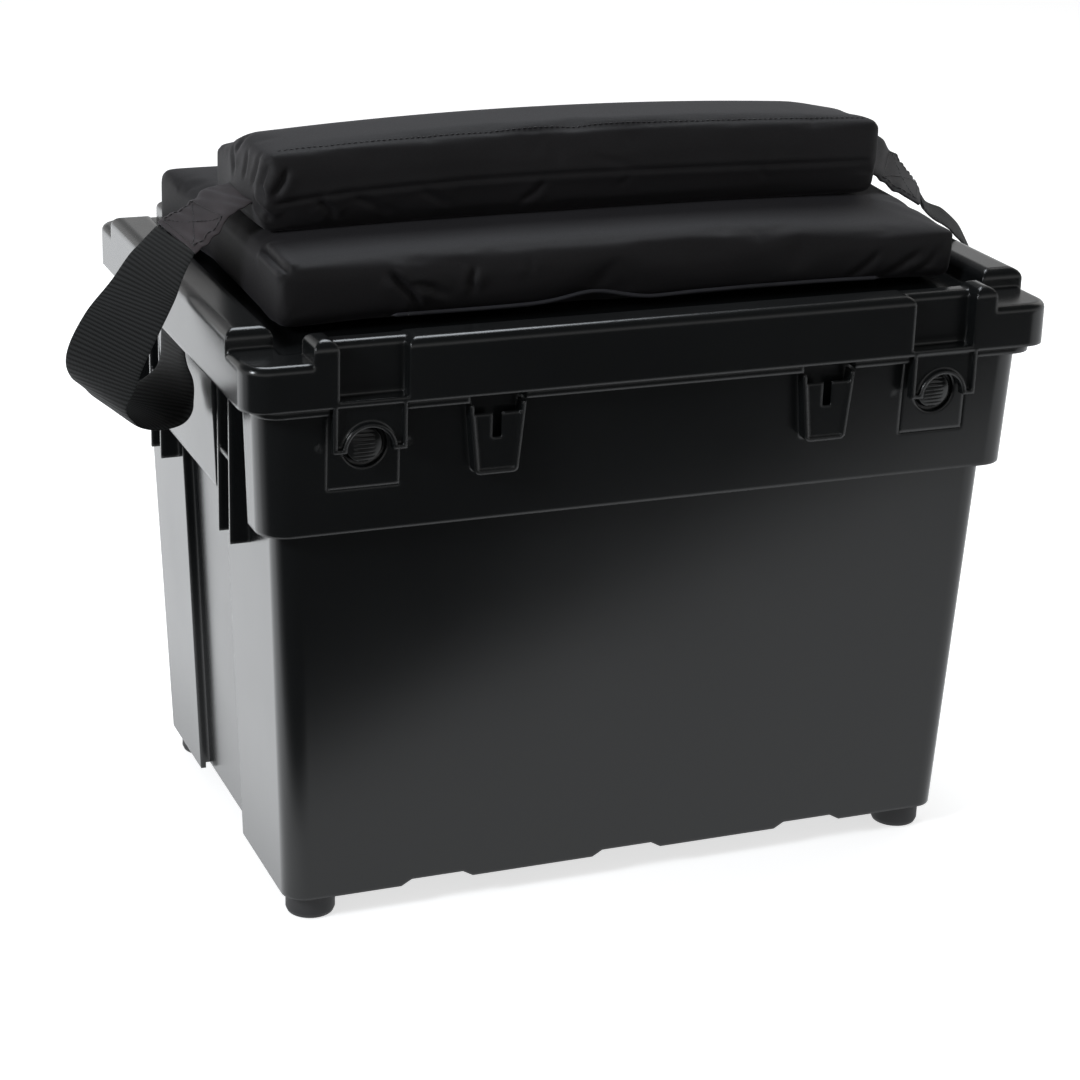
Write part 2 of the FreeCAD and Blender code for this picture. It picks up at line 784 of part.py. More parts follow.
def bent_wire(start, corner, end, spoke, wire_radius):
    """A stretch of wire bent from start to end, tangent to the two legs that meet at corner.

    Its section is a polygon with one corner on the spoke. The second value is the spoke turned by
    the bend, so that the next stretch starts with its corners on the ends of this one.
    """
    leg = corner - start
    bend = math.pi - (start - corner).getAngle(end - corner)
    axis = leg.cross(end - corner)
    axis.normalize()
    centre_way = axis.cross(leg)
    centre_way.normalize()
    centre = start + centre_way * (leg.Length / math.tan(bend / 2))
    leg.normalize()
    steps = [360 / wire_sides * side for side in range(wire_sides)]
    corners = [start + FreeCAD.Rotation(leg, step).multVec(spoke) * wire_radius for step in steps]
    section = Part.Face(Part.makePolygon(corners + corners[:1]))
    turned = FreeCAD.Rotation(axis, math.degrees(bend)).multVec(spoke)
    return section.revolve(centre, axis, math.degrees(bend)), turned


def coil(radius, length, turns, wire_radius):
    """A helix of wire along Y: each half turn is two bends that share a tangent."""
    climb = length / (turns * 2 * math.pi)

    def point(angle):
        return Vector(radius * math.cos(angle), climb * angle, radius * math.sin(angle))

    def tangent(angle):
        way = Vector(-radius * math.sin(angle), climb, radius * math.cos(angle))
        return way.normalize()

    bends = []
    spoke = Vector(1, 0, 0)  # the first spoke points outwards
    for half_turn in range(2 * turns):
        a0, a1 = half_turn * math.pi, (half_turn + 1) * math.pi
        p0, p1, t0, t1 = point(a0), point(a1), tangent(a0), tangent(a1)
        span = p1 - p0
        quadratic = 2 * (1 - t0.dot(t1))
        linear = 2 * span.dot(t0 + t1)
        leg = (math.sqrt(linear**2 + 4 * quadratic * span.dot(span)) - linear) / (2 * quadratic)
        c0, c1 = p0 + t0 * leg, p1 - t1 * leg
        joint = (c0 + c1) * 0.5
        for stretch in ((p0, c0, joint), (joint, c1, p1)):
            bend, spoke = bent_wire(*stretch, spoke, wire_radius)
            bends.append(bend)
    return fuse_all(bends)


def button_spring():
    """A compression spring round the stem, between the retaining rim and the housing's back."""
    start_y = plate_back_y() + retainer_gap + retainer_thickness + spring_wire
    length = housing_back_y() - spring_wire - start_y
    spring = coil(spring_radius, length, spring_turns, spring_wire)
    spring.translate(Vector(latch_x, start_y, latch_z))
    return spring


# The lid

def rail(x0, x1, y0, y1, top, radius):
    """A raised rail with a rounded top, standing on the lid."""
    return top_edges_of(block(x0, x1, y0, y1, skirt_bottom_z + past, top), radius)


def lid_tab():
    """The tab that hangs over one latch, framed by a raised rim with an arch round the button."""
    front = -lid_half_y
    back = front + tab_depth
    low = latch_z - tab_drop
    half = tab_half_width
    ledge_z = recess_floor_z - recess_floor_thickness
    tab = block(latch_x - half, latch_x + half, front, back, low, recess_floor_z - past)
    inner_half = half - tab_rim
    dip = block(
        latch_x - inner_half, latch_x + inner_half, front - past, back - tab_panel,
        low + tab_rim, ledge_z + fit_gap,
    )
    arch_length = tab_depth + 2 * past
    arch = rod((latch_x, front - past, latch_z), (0, 1, 0), arch_radius, arch_length)
    arch_rim = rod((latch_x, front - past, latch_z), (0, 1, 0), arch_radius + tab_rim, arch_length)
    ledge_back = front + recess_depth + recess_wall
    ledge = block(latch_x - half, latch_x + half, front, ledge_back, ledge_z, recess_floor_z)
    keeper_end = -face_y(catch_top_z) - catch_reach - catch_play
    keeper = block(
        latch_x - catch_half_width, latch_x + catch_half_width, back - sunk, keeper_end,
        keeper_top_z - keeper_height, keeper_top_z,
    )
    return fuse_all([tab.cut(dip.cut(arch_rim)), ledge, keeper]).cut(arch)


def lid_knuckle():
    """The barrel and web that join the lid to one hinge pin."""
    x0 = hinge_x - knuckle_length / 2
    x1 = hinge_x + knuckle_length / 2
    barrel = rod((x0, hinge_y, hinge_z), (1, 0, 0), knuckle_radius, knuckle_length)
    web = block(x0, x1, hinge_y, lid_half_y, hinge_z - hinge_heel, skirt_bottom_z + 2 * past)
    return barrel.fuse(web)


def lid_outside():
    """The lid's block with its deck let in between rails, cheeks and corner blocks."""
    plan = (lid_half_x, lid_half_y, lid_corner_radius)
    base = top_edges_of(tapered(*plan, skirt_bottom_z, *plan, corner_top_z), lid_edge_radius)
    deck_room = (-deck_half_x, deck_half_x, -deck_half_y, deck_half_y)
    base = base.cut(block(*deck_room, deck_top_z, corner_top_z + past))
    front_y = -lid_half_y
    deck_y = deck_half_y
    edge = rail_edge_radius
    back_end = recess_outer_x + cheek_width
    behind_end = recess_outer_x + behind_rail_reach
    behind_y = front_y + recess_depth
    front = rail(-recess_inner_x, recess_inner_x, front_y, -deck_y, rail_top_z, edge)
    behind = rail(-behind_end, behind_end, behind_y, -deck_y, rail_top_z - past, lid_edge_radius)
    back = rail(-back_end, back_end, deck_y, lid_half_y, rail_top_z, edge)
    cheek = rail(recess_outer_x, back_end, front_y, -deck_y, cheek_top_z, side_rail_edge_radius)
    long = side_rail_half_length
    side = rail(deck_half_x, lid_half_x, -long, long, side_rail_top_z, side_rail_edge_radius)
    solid = fuse_all([base, front, behind, back] + both_sides([cheek, side]))
    recess = block(recess_inner_x, recess_outer_x, front_y - past, behind_y, recess_floor_z, cheek_top_z)
    return solid.cut(both_sides([recess]))


def lid_inside():
    """The hollow under the deck and inside each rail, kept clear of the latch recesses."""
    wall = skirt_wall
    plan = (lid_half_x - wall, lid_half_y - wall, lid_corner_radius - wall)
    under_deck = tapered(*plan, skirt_bottom_z - past, *plan, deck_bottom_z)
    low = deck_bottom_z - past
    rail_high = rail_top_z - wall
    front_x = recess_inner_x - wall
    inner_y = deck_half_y + wall
    outer_y = lid_half_y - wall
    front = block(-front_x, front_x, -outer_y, -inner_y, low, rail_high)
    behind_y = -lid_half_y + recess_depth + recess_wall
    behind = block(-recess_outer_x, recess_outer_x, behind_y, -inner_y, low, rail_high - past)
    back_x = recess_outer_x + cheek_width - wall
    back = block(-back_x, back_x, inner_y, outer_y, low, rail_high)
    long = side_rail_half_length - wall
    side = block(deck_half_x + wall, lid_half_x - wall, -long, long, low, side_rail_top_z - wall)
    guard = block(
        recess_inner_x - recess_wall, recess_outer_x + wall, -lid_half_y - past, behind_y,
        skirt_bottom_z, rail_top_z,
    )
    return fuse_all([under_deck, front, behind, back] + both_sides([side])).cut(both_sides([guard]))


def lid_ribs():
    """A ring of ribs inside the rim and a grid across the deck's underside."""
    low, high = rim_top_z + rib_clearance, deck_bottom_z + past
    half = rib_thickness / 2
    reach_x = lid_half_x - collar_top_inset - past
    reach_y = lid_half_y - collar_top_inset - past
    ribs = [ring(collar_top_inset + rib_clearance, rib_thickness, tub_corner_radius, low, high)]
    for step in (-1, 0, 1):
        x = step * rib_spacing_x
        y = step * rib_spacing_y
        ribs.append(block(x - half, x + half, -reach_y, reach_y, low, high))
        ribs.append(block(-reach_x, reach_x, y - half, y + half, low, high))
    return ribs


def lid():
    shell = lid_outside().cut(lid_inside())
    details = both_sides([lid_tab(), lid_knuckle(), anchor_pad()])
    solid = fuse_all([shell] + lid_ribs() + details)
    x0 = hinge_x - knuckle_length / 2 - past
    bore_radius = hinge_pin_radius + hinge_clearance
    bore = rod((x0, hinge_y, hinge_z), (1, 0, 0), bore_radius, knuckle_length + 2 * past)
    return solid.cut(both_sides([bore] + strap_screw_holes(0.0)))


# Hinge pins

def hinge_pin():
    """A headed steel pin, fast in the tub's ears and free in the lid's knuckle."""
    x0, x1 = hinge_span()
    start = x0 - hinge_ear_length
    shaft = rod((start, hinge_y, hinge_z), (1, 0, 0), hinge_pin_radius, x1 + hinge_ear_length - start)
    head = rod((x1 + hinge_ear_length, hinge_y, hinge_z), (1, 0, 0), pin_head_radius, pin_head_length)
    return shaft.fuse(head)


# The tray

def lift_out_tray():
    """A shallow tray on the collar's ledges, drawn in at the front corners to clear the latches."""
    low = ledge_top_z
    high = low + tray_height
    narrow_front = housing_back_y() + housing_wall + button_travel + tray_notch_gap

    def body(inset, z0, z1):
        side = inner_side_x - tray_gap - inset
        far = collar_inner_y - tray_gap - inset
        main = block(-side, side, narrow_front + inset, far, z0, z1)
        nose_x = tray_wide_half - inset
        nose = block(-nose_x, nose_x, -far, narrow_front + inset + past, z0, z1)
        return main.fuse(nose).removeSplitter()

    radius = tub_corner_radius - tub_wall - tray_gap
    outer = upright_edges_of(body(0, low, high), radius)
    inner = upright_edges_of(body(tray_wall, low + tray_wall, high + past), radius - tray_wall)
    far = collar_inner_y - tray_gap - tray_wall / 2
    half = tray_wall / 2
    floor = low + sunk
    top = high - tray_divider_drop
    dividers = [block(x - half, x + half, -far, far, floor, top) for x in tray_divider_xs]
    over_backing = hinge_box(tub_wall + tray_gap, hinge_well_y() - tub_wall - tray_gap, lid_half_y)
    return fuse_all([outer.cut(inner)] + dividers).cut(both_sides([over_backing]))


# Soft parts

def soft_outline(x0, x1, y0, y1, radius, pull, z):
    """A rounded rectangle whose four sides are drawn in by pull at their middles."""
    centre_x = (x0 + x1) / 2
    centre_y = (y0 + y1) / 2
    diagonal = radius * (1 - math.sqrt(0.5))
    sides = [
        (Vector(x0 + radius, y0, z), Vector(centre_x, y0 + pull, z), Vector(x1 - radius, y0, z)),
        (Vector(x1, y0 + radius, z), Vector(x1 - pull, centre_y, z), Vector(x1, y1 - radius, z)),
        (Vector(x1 - radius, y1, z), Vector(centre_x, y1 - pull, z), Vector(x0 + radius, y1, z)),
        (Vector(x0, y1 - radius, z), Vector(x0 + pull, centre_y, z), Vector(x0, y0 + radius, z)),
    ]
    corners = [
        Vector(x1 - diagonal, y0 + diagonal, z), Vector(x1 - diagonal, y1 - diagonal, z),
        Vector(x0 + diagonal, y1 - diagonal, z), Vector(x0 + diagonal, y0 + diagonal, z),
    ]
    edges = []
    for index, (start, middle, end) in enumerate(sides):
        edges.append(Part.Arc(start, middle, end).toShape())
        following = sides[(index + 1) % 4][0]
        edges.append(Part.Arc(end, corners[index], following).toShape())
    return Part.Wire(edges)


def soft_slab(plan, bottom, height, crown, crown_inset, radius, pull, seam, skin):
    """A stuffed slab: drawn-in sides with a seam line half way up, and a crowned top."""
    x0, x1, y0, y1 = plan
    side_top = bottom + height - crown
    middle = (bottom + side_top) / 2
    roll = height / 8
    levels = [
        (bottom + skin, 1.4 * roll), (bottom + roll, 0.3 * roll), (middle - roll, 0.0), (middle, seam),
        (middle + roll, 0.0), (side_top - 0.8 * roll, 0.3 * roll), (side_top, 1.2 * roll),
        (side_top + crown * 0.6, crown_inset * 0.5), (bottom + height - skin, crown_inset),
    ]
    wires = []
    for z, inset in levels:
        drawn = inset + skin
        corner = max(radius - skin, least_corner_radius) + inset / 2
        wires.append(soft_outline(x0 + drawn, x1 - drawn, y0 + drawn, y1 - drawn, corner, pull, z))
    return Part.makeLoft(wires, True, True)


def cushion_part(skin):
    plan = (-cushion_half_x, cushion_half_x, cushion_front_y, cushion_back_y)
    return soft_slab(
        plan, cushion_bottom_z, cushion_height, cushion_crown, cushion_crown_inset,
        cushion_corner_radius, cushion_pull, cushion_seam_depth, skin,
    )


def pad_part(skin):
    plan = (pad_left_x, pad_right_x, pad_front_y, pad_back_y)
    return soft_slab(
        plan, pad_bottom_z, pad_height, pad_crown, pad_crown_inset,
        pad_corner_radius, pad_pull, pad_seam_depth, skin,
    )


# The strap. Each section of a route is its middle and the direction across the webbing.

def anchor_pad():
    """The thick patch inside the side rail that the strap's screws bite into."""
    low = anchor_z - anchor_plate_height / 2
    half = anchor_plate_width / 2
    middle = skirt_wall / 2
    return block(anchor_face_x, lid_half_x - middle, -half, half, low, side_rail_top_z - middle)


def strap_screw_holes(clearance):
    """The holes for the two screws of the right side, from inside the plate into the pad."""
    start = plate_inner_x() - past
    length = anchor_face_x + strap_screw_grip - start
    radius = strap_screw_radius + clearance
    return [rod((start, y, anchor_z), (1, 0, 0), radius, length) for y in (-strap_screw_y, strap_screw_y)]


def plate_inner_x():
    """The inner face of the plate that clamps the webbing."""
    return anchor_x - webbing_thickness / 2 - anchor_fit - anchor_plate_thickness


def strap_section(middle, across, width, thickness, normal):
    """A thin rectangle across the strap."""
    a = Vector(*across)
    a.normalize()
    n = Vector(*normal)
    n = n - a * n.dot(a)
    n.normalize()
    m = Vector(*middle)
    wide = a * (width / 2)
    thick = n * (thickness / 2)
    corners = [m + wide + thick, m - wide + thick, m - wide - thick, m + wide - thick]
    return Part.makePolygon(corners + corners[:1])


def strap_strip(route, width, thickness):
    """A flat strip along a route, with its faces turned to the route's own normals."""
    wires = []
    for index, (middle, across) in enumerate(route):
        before = Vector(*route[max(index - 1, 0)][0])
        after = Vector(*route[min(index + 1, len(route) - 1)][0])
        normal = (after - before).cross(Vector(*across))
        wires.append(strap_section(middle, across, width, thickness, normal))
    return Part.makeLoft(wires, True, True)


def beside(side, out, y, up):
    """A point this far outside one side of the lid and above the lid's lower edge."""
    return (side * (lid_half_x + out), y, skirt_bottom_z + up)


def tab_route(side, pad_end_x, start_y, start_z, steps):
    """The cloth tab: from the pad's end over the seat cushion's edge, then outwards and down."""
    start = ((pad_end_x + side * soft_gap / 2, start_y, start_z), (side * 0.05, -1, 0.05))
    route = [start]
    for out, y, over_seat, across in steps:
        route.append(((side * (lid_half_x + out), y, cushion_top_z + over_seat), across))
    return route


def webbing_route(side, tab_end, steps):
    """The webbing: from the tab's end through a hanging loop and up inside the lid's skirt."""
    (x, y, z), across = tab_end
    route = [((x + side * 0.35, y, z - 0.45), across)]
    for out, y, up, across in steps:
        route.append((beside(side, out, y, up), across))
    straight = (0.0, -1, 0.0)
    for x, z in ((hang_x, 7), (hang_x, -4), (anchor_x, -14)):
        route.append(((side * x, 0, skirt_bottom_z - z), straight))
    route.append(((side * anchor_x, 0, anchor_top_z), straight))
    return route


left_tab_steps = [
    (-30, -12, 11.7, (-0.02, -1, -0.03)),
    (-16, -14, 1.7, (0.05, -0.99, -0.08)),
    (-3.5, -15, -6.3, (0.12, -0.99, -0.12)),
]
left_steps = [
    (6, -16, 43, (0.3, -0.94, -0.05)),
    (15, -17, 29, (0.48, -0.87, 0.0)),
    (29, -23, 12, (0.56, -0.82, -0.12)),
    (40, -26, -7, (0.54, -0.8, -0.25)),
    (42, -26, -22, (0.42, -0.72, -0.5)),
    (36, -24, -33, (0.3, -0.85, -0.35)),
    (25, -20, -39.3, (0.2, -0.93, -0.2)),
    (13, -14, -40.8, (0.1, -0.98, -0.1)),
    (2, -8, -35, (0.03, -1, -0.04)),
    (-4, -3, -23, (0.0, -1, 0.0)),
]
right_tab_steps = [
    (-40, -11, 13.7, (0.02, -1, -0.03)),
    (-28, -14, 4.7, (-0.05, -0.99, -0.08)),
    (-17, -16, -5.3, (-0.12, -0.99, -0.12)),
]
right_steps = [
    (-6, -18, 45, (-0.1, -0.99, -0.1)),
    (6, -20, 33, (-0.1, -0.99, -0.05)),
    (24, -22, 13, (-0.2, -0.97, -0.1)),
    (40, -24, -5, (-0.35, -0.9, -0.2)),
    (42.6, -25, -19, (-0.42, -0.75, -0.45)),
    (38, -24, -32, (-0.3, -0.85, -0.35)),
    (26, -20, -39.3, (-0.2, -0.93, -0.2)),
    (13, -14, -40.8, (-0.1, -0.98, -0.1)),
    (2, -8, -35, (-0.03, -1, -0.04)),
    (-4, -3, -23, (0.0, -1, 0.0)),
]
left_tab_route = tab_route(-1, pad_left_x, -10, pad_bottom_z + pad_height / 3, left_tab_steps)
right_tab_route = tab_route(1, pad_right_x, -8, pad_bottom_z + pad_height * 0.4, right_tab_steps)
left_route = webbing_route(-1, left_tab_route[-1], left_steps)
right_route = webbing_route(1, right_tab_route[-1], right_steps)


def webbing(route):
    strip = strap_strip(route, webbing_width, webbing_thickness)
    return strip.cut(both_sides(strap_screw_holes(strap_screw_clearance)))


def anchor_plate():
    """The steel strip that clamps the webbing's end to the inside of the side rail."""
    inner = plate_inner_x()
    half_width, half_height = anchor_plate_width / 2, anchor_plate_height / 2
    plate = block(
        inner, inner + anchor_plate_thickness, -half_width, half_width,
        anchor_z - half_height, anchor_z + half_height,
    )
    plate = round_edges(plate, anchor_corner_radius, lambda a, b: abs(a.x - b.x) > 0.5)
    return plate.cut(strap_screw_holes(strap_screw_clearance))


def strap_screws():
    """Two screws on each side, through the plate and the webbing into the pad."""
    end = anchor_face_x + strap_screw_grip
    grip = end - plate_inner_x()
    sizes = (strap_screw_radius, grip, strap_head_radius, strap_head_height)
    heights = (-strap_screw_y, strap_screw_y)
    screws = [headed_screw((end, y, anchor_z), (-1, 0, 0), *sizes) for y in heights]
    return Part.makeCompound(both_sides(screws))


save("tub", tub())
for (x, y), name in zip(foot_places, ("front_left", "front_right", "back_left", "back_right")):
    save(f"foot_{name}", foot(x, y))
for side in ("left", "right"):
    turn = mirrored if side == "left" else (lambda shape: shape)
    save(f"latch_plate_{side}", turn(latch_plate()))
    save(f"latch_housing_{side}", turn(latch_housing()))
    save(f"button_{side}", turn(button()))
    save(f"button_spring_{side}", turn(button_spring()))
    save(f"hinge_pin_{side}", turn(hinge_pin()))
    save(f"strap_anchor_{side}", turn(anchor_plate()))
save("latch_screws", latch_screws())
save("strap_screws", strap_screws())
save("lift_out_tray", lift_out_tray())
save("lid", lid())
save("seat_cushion_cover", cushion_part(0.0).cut(cushion_part(cover_thickness)))
save("seat_foam", cushion_part(cover_thickness + soft_gap))
save("strap_pad_cover", pad_part(0.0).cut(pad_part(cover_thickness)))
save("strap_pad_foam", pad_part(cover_thickness + soft_gap))
save("strap_tab_left", strap_strip(left_tab_route, tab_cloth_width, tab_cloth_thickness))
save("strap_tab_right", strap_strip(right_tab_route, tab_cloth_width, tab_cloth_thickness))
save("webbing_left", webbing(left_route))
save("webbing_right", webbing(right_route))
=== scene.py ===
# %% [markdown]
# # A fishing seat box, dressed over its CAD model
# The box, its lid, latches and feet arrive from the CAD model as finished meshes, each in its
# place. What CAD can't show is made here: the cushion and the strap's pad as stuffed cloth, the
# ribbed webbing, the stitches, and a finish for every surface. The work goes from the camera
# and the light, through the moulded parts, to the cloth, because cloth is judged under the
# light that it will be seen in.

# %% Load the CAD model
import json
import math

import bpy
import numpy as np
from mathutils import Matrix, Vector


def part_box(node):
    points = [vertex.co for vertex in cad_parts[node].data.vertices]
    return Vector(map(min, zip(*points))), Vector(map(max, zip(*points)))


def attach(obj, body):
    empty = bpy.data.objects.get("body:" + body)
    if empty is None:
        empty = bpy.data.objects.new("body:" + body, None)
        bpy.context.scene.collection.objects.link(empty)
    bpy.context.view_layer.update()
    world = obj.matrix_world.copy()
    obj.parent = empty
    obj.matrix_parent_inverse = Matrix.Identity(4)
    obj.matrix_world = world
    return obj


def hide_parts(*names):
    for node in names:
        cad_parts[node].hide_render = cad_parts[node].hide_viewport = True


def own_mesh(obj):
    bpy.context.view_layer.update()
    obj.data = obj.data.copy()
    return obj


MM = 0.001
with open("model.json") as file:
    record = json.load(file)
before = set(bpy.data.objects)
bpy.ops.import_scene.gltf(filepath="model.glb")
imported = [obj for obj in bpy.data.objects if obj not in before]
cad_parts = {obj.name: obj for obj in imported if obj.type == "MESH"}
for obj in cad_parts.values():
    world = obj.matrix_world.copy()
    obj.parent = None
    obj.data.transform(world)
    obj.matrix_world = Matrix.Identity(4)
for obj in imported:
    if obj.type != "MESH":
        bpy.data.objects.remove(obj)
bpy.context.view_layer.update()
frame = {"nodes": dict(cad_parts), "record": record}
cad_nodes = frame["nodes"]

# %% [markdown]
# ## The camera
# The photograph was taken from above and to the left of the box with a long lens, so that its
# upright edges stay almost parallel. A camera is placed by three turns: first towards the right
# about the upright, then down, then a small roll, because the picture isn't quite level. The
# lens is given for a picture as wide as it is high.

# %% Camera at the photograph's angle
CAMERA_PLACE = Vector((-0.585, -1.430, 0.731))
CAMERA_RIGHT, CAMERA_DOWN, CAMERA_ROLL = 22.04, 20.36, 1.71
LENS = 92.83


def camera_turn(right, down, roll):
    """The turns about Z, then about the camera's own X and Z, in degrees, as one matrix."""
    upright = Matrix.Rotation(-math.radians(right), 4, "Z")
    tilt = Matrix.Rotation(math.radians(90 - down), 4, "X")
    return upright @ tilt @ Matrix.Rotation(math.radians(roll), 4, "Z")


camera_data = bpy.data.cameras.new("photo_camera")
camera_data.lens = LENS
camera_data.sensor_width = 36
camera_data.sensor_fit = "HORIZONTAL"
camera = bpy.data.objects.new("photo_camera", camera_data)
bpy.context.scene.collection.objects.link(camera)
turn = camera_turn(CAMERA_RIGHT, CAMERA_DOWN, CAMERA_ROLL)
camera.matrix_world = Matrix.Translation(CAMERA_PLACE) @ turn
bpy.context.scene.camera = camera
bpy.context.scene.view_settings.view_transform = "Standard"
print("camera at", tuple(CAMERA_PLACE), "lens", LENS)

# %% [markdown]
# ## Small helpers for node trees
# Every finish is a tree of shader nodes. Writing one by hand takes three lines for each node, so
# one helper adds a node with its settings, and another joins an output to an input. A tree then
# reads from the pattern, through its contrast, to the shader.


# %% Node helpers
class Tree:
    """A material's or world's node tree, with short calls that add nodes and join them."""

    def __init__(self, owner):
        owner.use_nodes = True
        self.nodes = owner.node_tree.nodes
        self.links = owner.node_tree.links
        self.nodes.clear()

    def add(self, kind, settings=None, **inputs):
        """A node of that kind. An input's value is a number, a colour or another node's output."""
        node = self.nodes.new(kind)
        for name, value in (settings or {}).items():
            setattr(node, name, value)
        for name, value in inputs.items():
            self.put(node, name.replace("_", " "), value)
        return node

    def put(self, node, name, value):
        """Sets the input of that name, or of that number, or joins it to an output."""
        socket = node.inputs[int(name)] if name.isdigit() else node.inputs[name]
        if isinstance(value, bpy.types.NodeSocket):
            self.links.new(value, socket)
        else:
            socket.default_value = value

    def math(self, operation, *values):
        """The result of a Math node on one, two or three values."""
        node = self.add("ShaderNodeMath", {"operation": operation})
        for number, value in enumerate(values):
            self.put(node, str(number), value)
        return node.outputs[0]

    def ramp(self, value, *stops):
        """A colour ramp with (position, grey level) stops, as a number from its colour."""
        node = self.add("ShaderNodeValToRGB", Fac=value)
        elements = node.color_ramp.elements
        for number, (position, level) in enumerate(stops):
            stop = elements[number] if number < 2 else elements.new(position)
            stop.position = position
            stop.color = (level, level, level, 1)
        return node.outputs["Color"]

    def noise(self, place, scale, detail=3.0):
        """A noise pattern, centred on 0.5, with scale spots in each metre."""
        node = self.add("ShaderNodeTexNoise", Vector=place, Scale=scale, Detail=detail)
        return node.outputs["Fac"]

    def blend(self, share, low, high):
        """A colour from low, at share 0, to high, at share 1, each as (red, green, blue). The Mix
        node keeps its colours in inputs 6 and 7 and in output 2."""
        node = self.add("ShaderNodeMix", {"data_type": "RGBA"}, Factor=share)
        self.put(node, "6", (*low, 1))
        self.put(node, "7", (*high, 1))
        return node.outputs[2]

    def shade(self, **inputs):
        """Ends a material's tree with a Principled shader that has these inputs."""
        shader = self.add("ShaderNodeBsdfPrincipled", **inputs)
        self.add("ShaderNodeOutputMaterial", Surface=shader.outputs[0])


def new_material(name):
    """A material with an empty tree, as (material, tree)."""
    material = bpy.data.materials.new(name)
    return material, Tree(material)


print("node helpers ready")

# %% [markdown]
# ## The studio
# The photograph has a white ground without a horizon. A floor is white to the camera where its
# material adds light of its own for camera rays only, and the object's faint shadow still
# shows. Gloss needs something to mirror: the side that faces left mirrors the bright ground
# beside the box at a flat angle, while the upper front mirrors the darker room. So for glossy
# rays the ground has a level that depends on the place on it. The lamps are large and soft.

# %% Floor, backdrop light and lamps
FLOOR_SIZE = 14.0
FLOOR_SLANT = 0.6


def flat_square(name, size):
    """A square of that size about the origin at height 0."""
    half = size / 2
    corners = [(-half, -half, 0), (half, -half, 0), (half, half, 0), (-half, half, 0)]
    mesh = bpy.data.meshes.new(name)
    mesh.from_pydata(corners, [], [(0, 1, 2, 3)])
    square = bpy.data.objects.new(name, mesh)
    bpy.context.scene.collection.objects.link(square)
    return square


def floor_material():
    """White to the camera, pale to light, and bright or dark to gloss by its place."""
    material, tree = new_material("studio_floor")
    place = tree.add("ShaderNodeTexCoord").outputs["Object"]
    axes = tree.add("ShaderNodeSeparateXYZ", Vector=place).outputs
    slant = tree.math("MULTIPLY_ADD", axes["X"], FLOOR_SLANT, axes["Y"])

    def fade(value, start, end, low, high):
        limits = {"From Min": start, "From Max": end, "To Min": low, "To Max": high}
        settings = {"interpolation_type": "SMOOTHSTEP"}
        return tree.add("ShaderNodeMapRange", settings, Value=value, **limits).outputs[0]

    front = fade(slant, -0.455, -0.335, 0.05, 1.0)
    left = fade(axes["X"], -0.17, -0.26, 0.0, 1.0)
    behind = fade(axes["Y"], -0.30, 0.0, 0.0, 0.76)
    mirrored = tree.math("MULTIPLY_ADD", left, behind, front)
    rays = tree.add("ShaderNodeLightPath").outputs
    body = tree.add("ShaderNodeBsdfDiffuse", Color=(0.82, 0.82, 0.82, 1)).outputs[0]
    shine = tree.add("ShaderNodeEmission", Color=(0.96, 0.98, 1, 1), Strength=mirrored).outputs[0]
    white = tree.add("ShaderNodeEmission", Strength=0.68).outputs[0]
    seen = tree.add("ShaderNodeAddShader")
    tree.put(seen, "0", body)
    tree.put(seen, "1", white)
    by_eye = tree.add("ShaderNodeMixShader", Fac=rays["Is Camera Ray"])
    tree.put(by_eye, "1", body)
    tree.put(by_eye, "2", seen.outputs[0])
    by_gloss = tree.add("ShaderNodeMixShader", Fac=rays["Is Glossy Ray"])
    tree.put(by_gloss, "1", by_eye.outputs[0])
    tree.put(by_gloss, "2", shine)
    tree.add("ShaderNodeOutputMaterial", Surface=by_gloss.outputs[0])
    return material


def sky_light():
    """A plain soft surround, white to the camera, and dark overhead to gloss."""
    world = bpy.data.worlds.new("studio")
    bpy.context.scene.world = world
    tree = Tree(world)
    direction = tree.add("ShaderNodeTexCoord").outputs["Generated"]
    axes = tree.add("ShaderNodeSeparateXYZ", Vector=direction).outputs
    low = tree.ramp(axes["Z"], (0.0, 1.0), (0.23, 1.0), (0.34, 0.38), (0.6, 0.08))
    side = tree.ramp(axes["X"], (0.20, 1.0), (0.40, 0.68), (0.52, 1.0))
    mirrored = tree.math("MULTIPLY", low, side)
    rays = tree.add("ShaderNodeLightPath").outputs
    level = tree.add("ShaderNodeMix", Factor=rays["Is Glossy Ray"], A=0.38, B=mirrored)
    level = tree.add("ShaderNodeMix", Factor=rays["Is Camera Ray"], A=level.outputs[0], B=1.0)
    shell = tree.add("ShaderNodeBackground", Strength=level.outputs[0])
    tree.add("ShaderNodeOutputWorld", Surface=shell.outputs[0])


def softbox(name, place, aim, size, watts, colour):
    """A square lamp at a place, turned towards the aim."""
    lamp = bpy.data.lights.new(name, "AREA")
    lamp.size = size
    lamp.energy = watts
    lamp.color = colour
    holder = bpy.data.objects.new(name, lamp)
    holder.location = place
    holder.rotation_euler = (Vector(aim) - Vector(place)).to_track_quat("-Z", "Y").to_euler()
    bpy.context.scene.collection.objects.link(holder)


floor = flat_square("floor", FLOOR_SIZE)
floor.data.materials.append(floor_material())
sky_light()
softbox("key", (0.25, 0.75, 2.0), (0, 0, 0.3), 0.9, 18, (0.90, 0.95, 1.0))
softbox("window", (-1.7, -0.7, 1.2), (0, 0, 0.25), 0.4, 20, (0.92, 0.96, 1.0))
softbox("fill", (2.0, 0.9, 1.6), (0, 0, 0.2), 1.5, 7, (1.0, 0.98, 0.96))
print("floor, surround and three lamps")

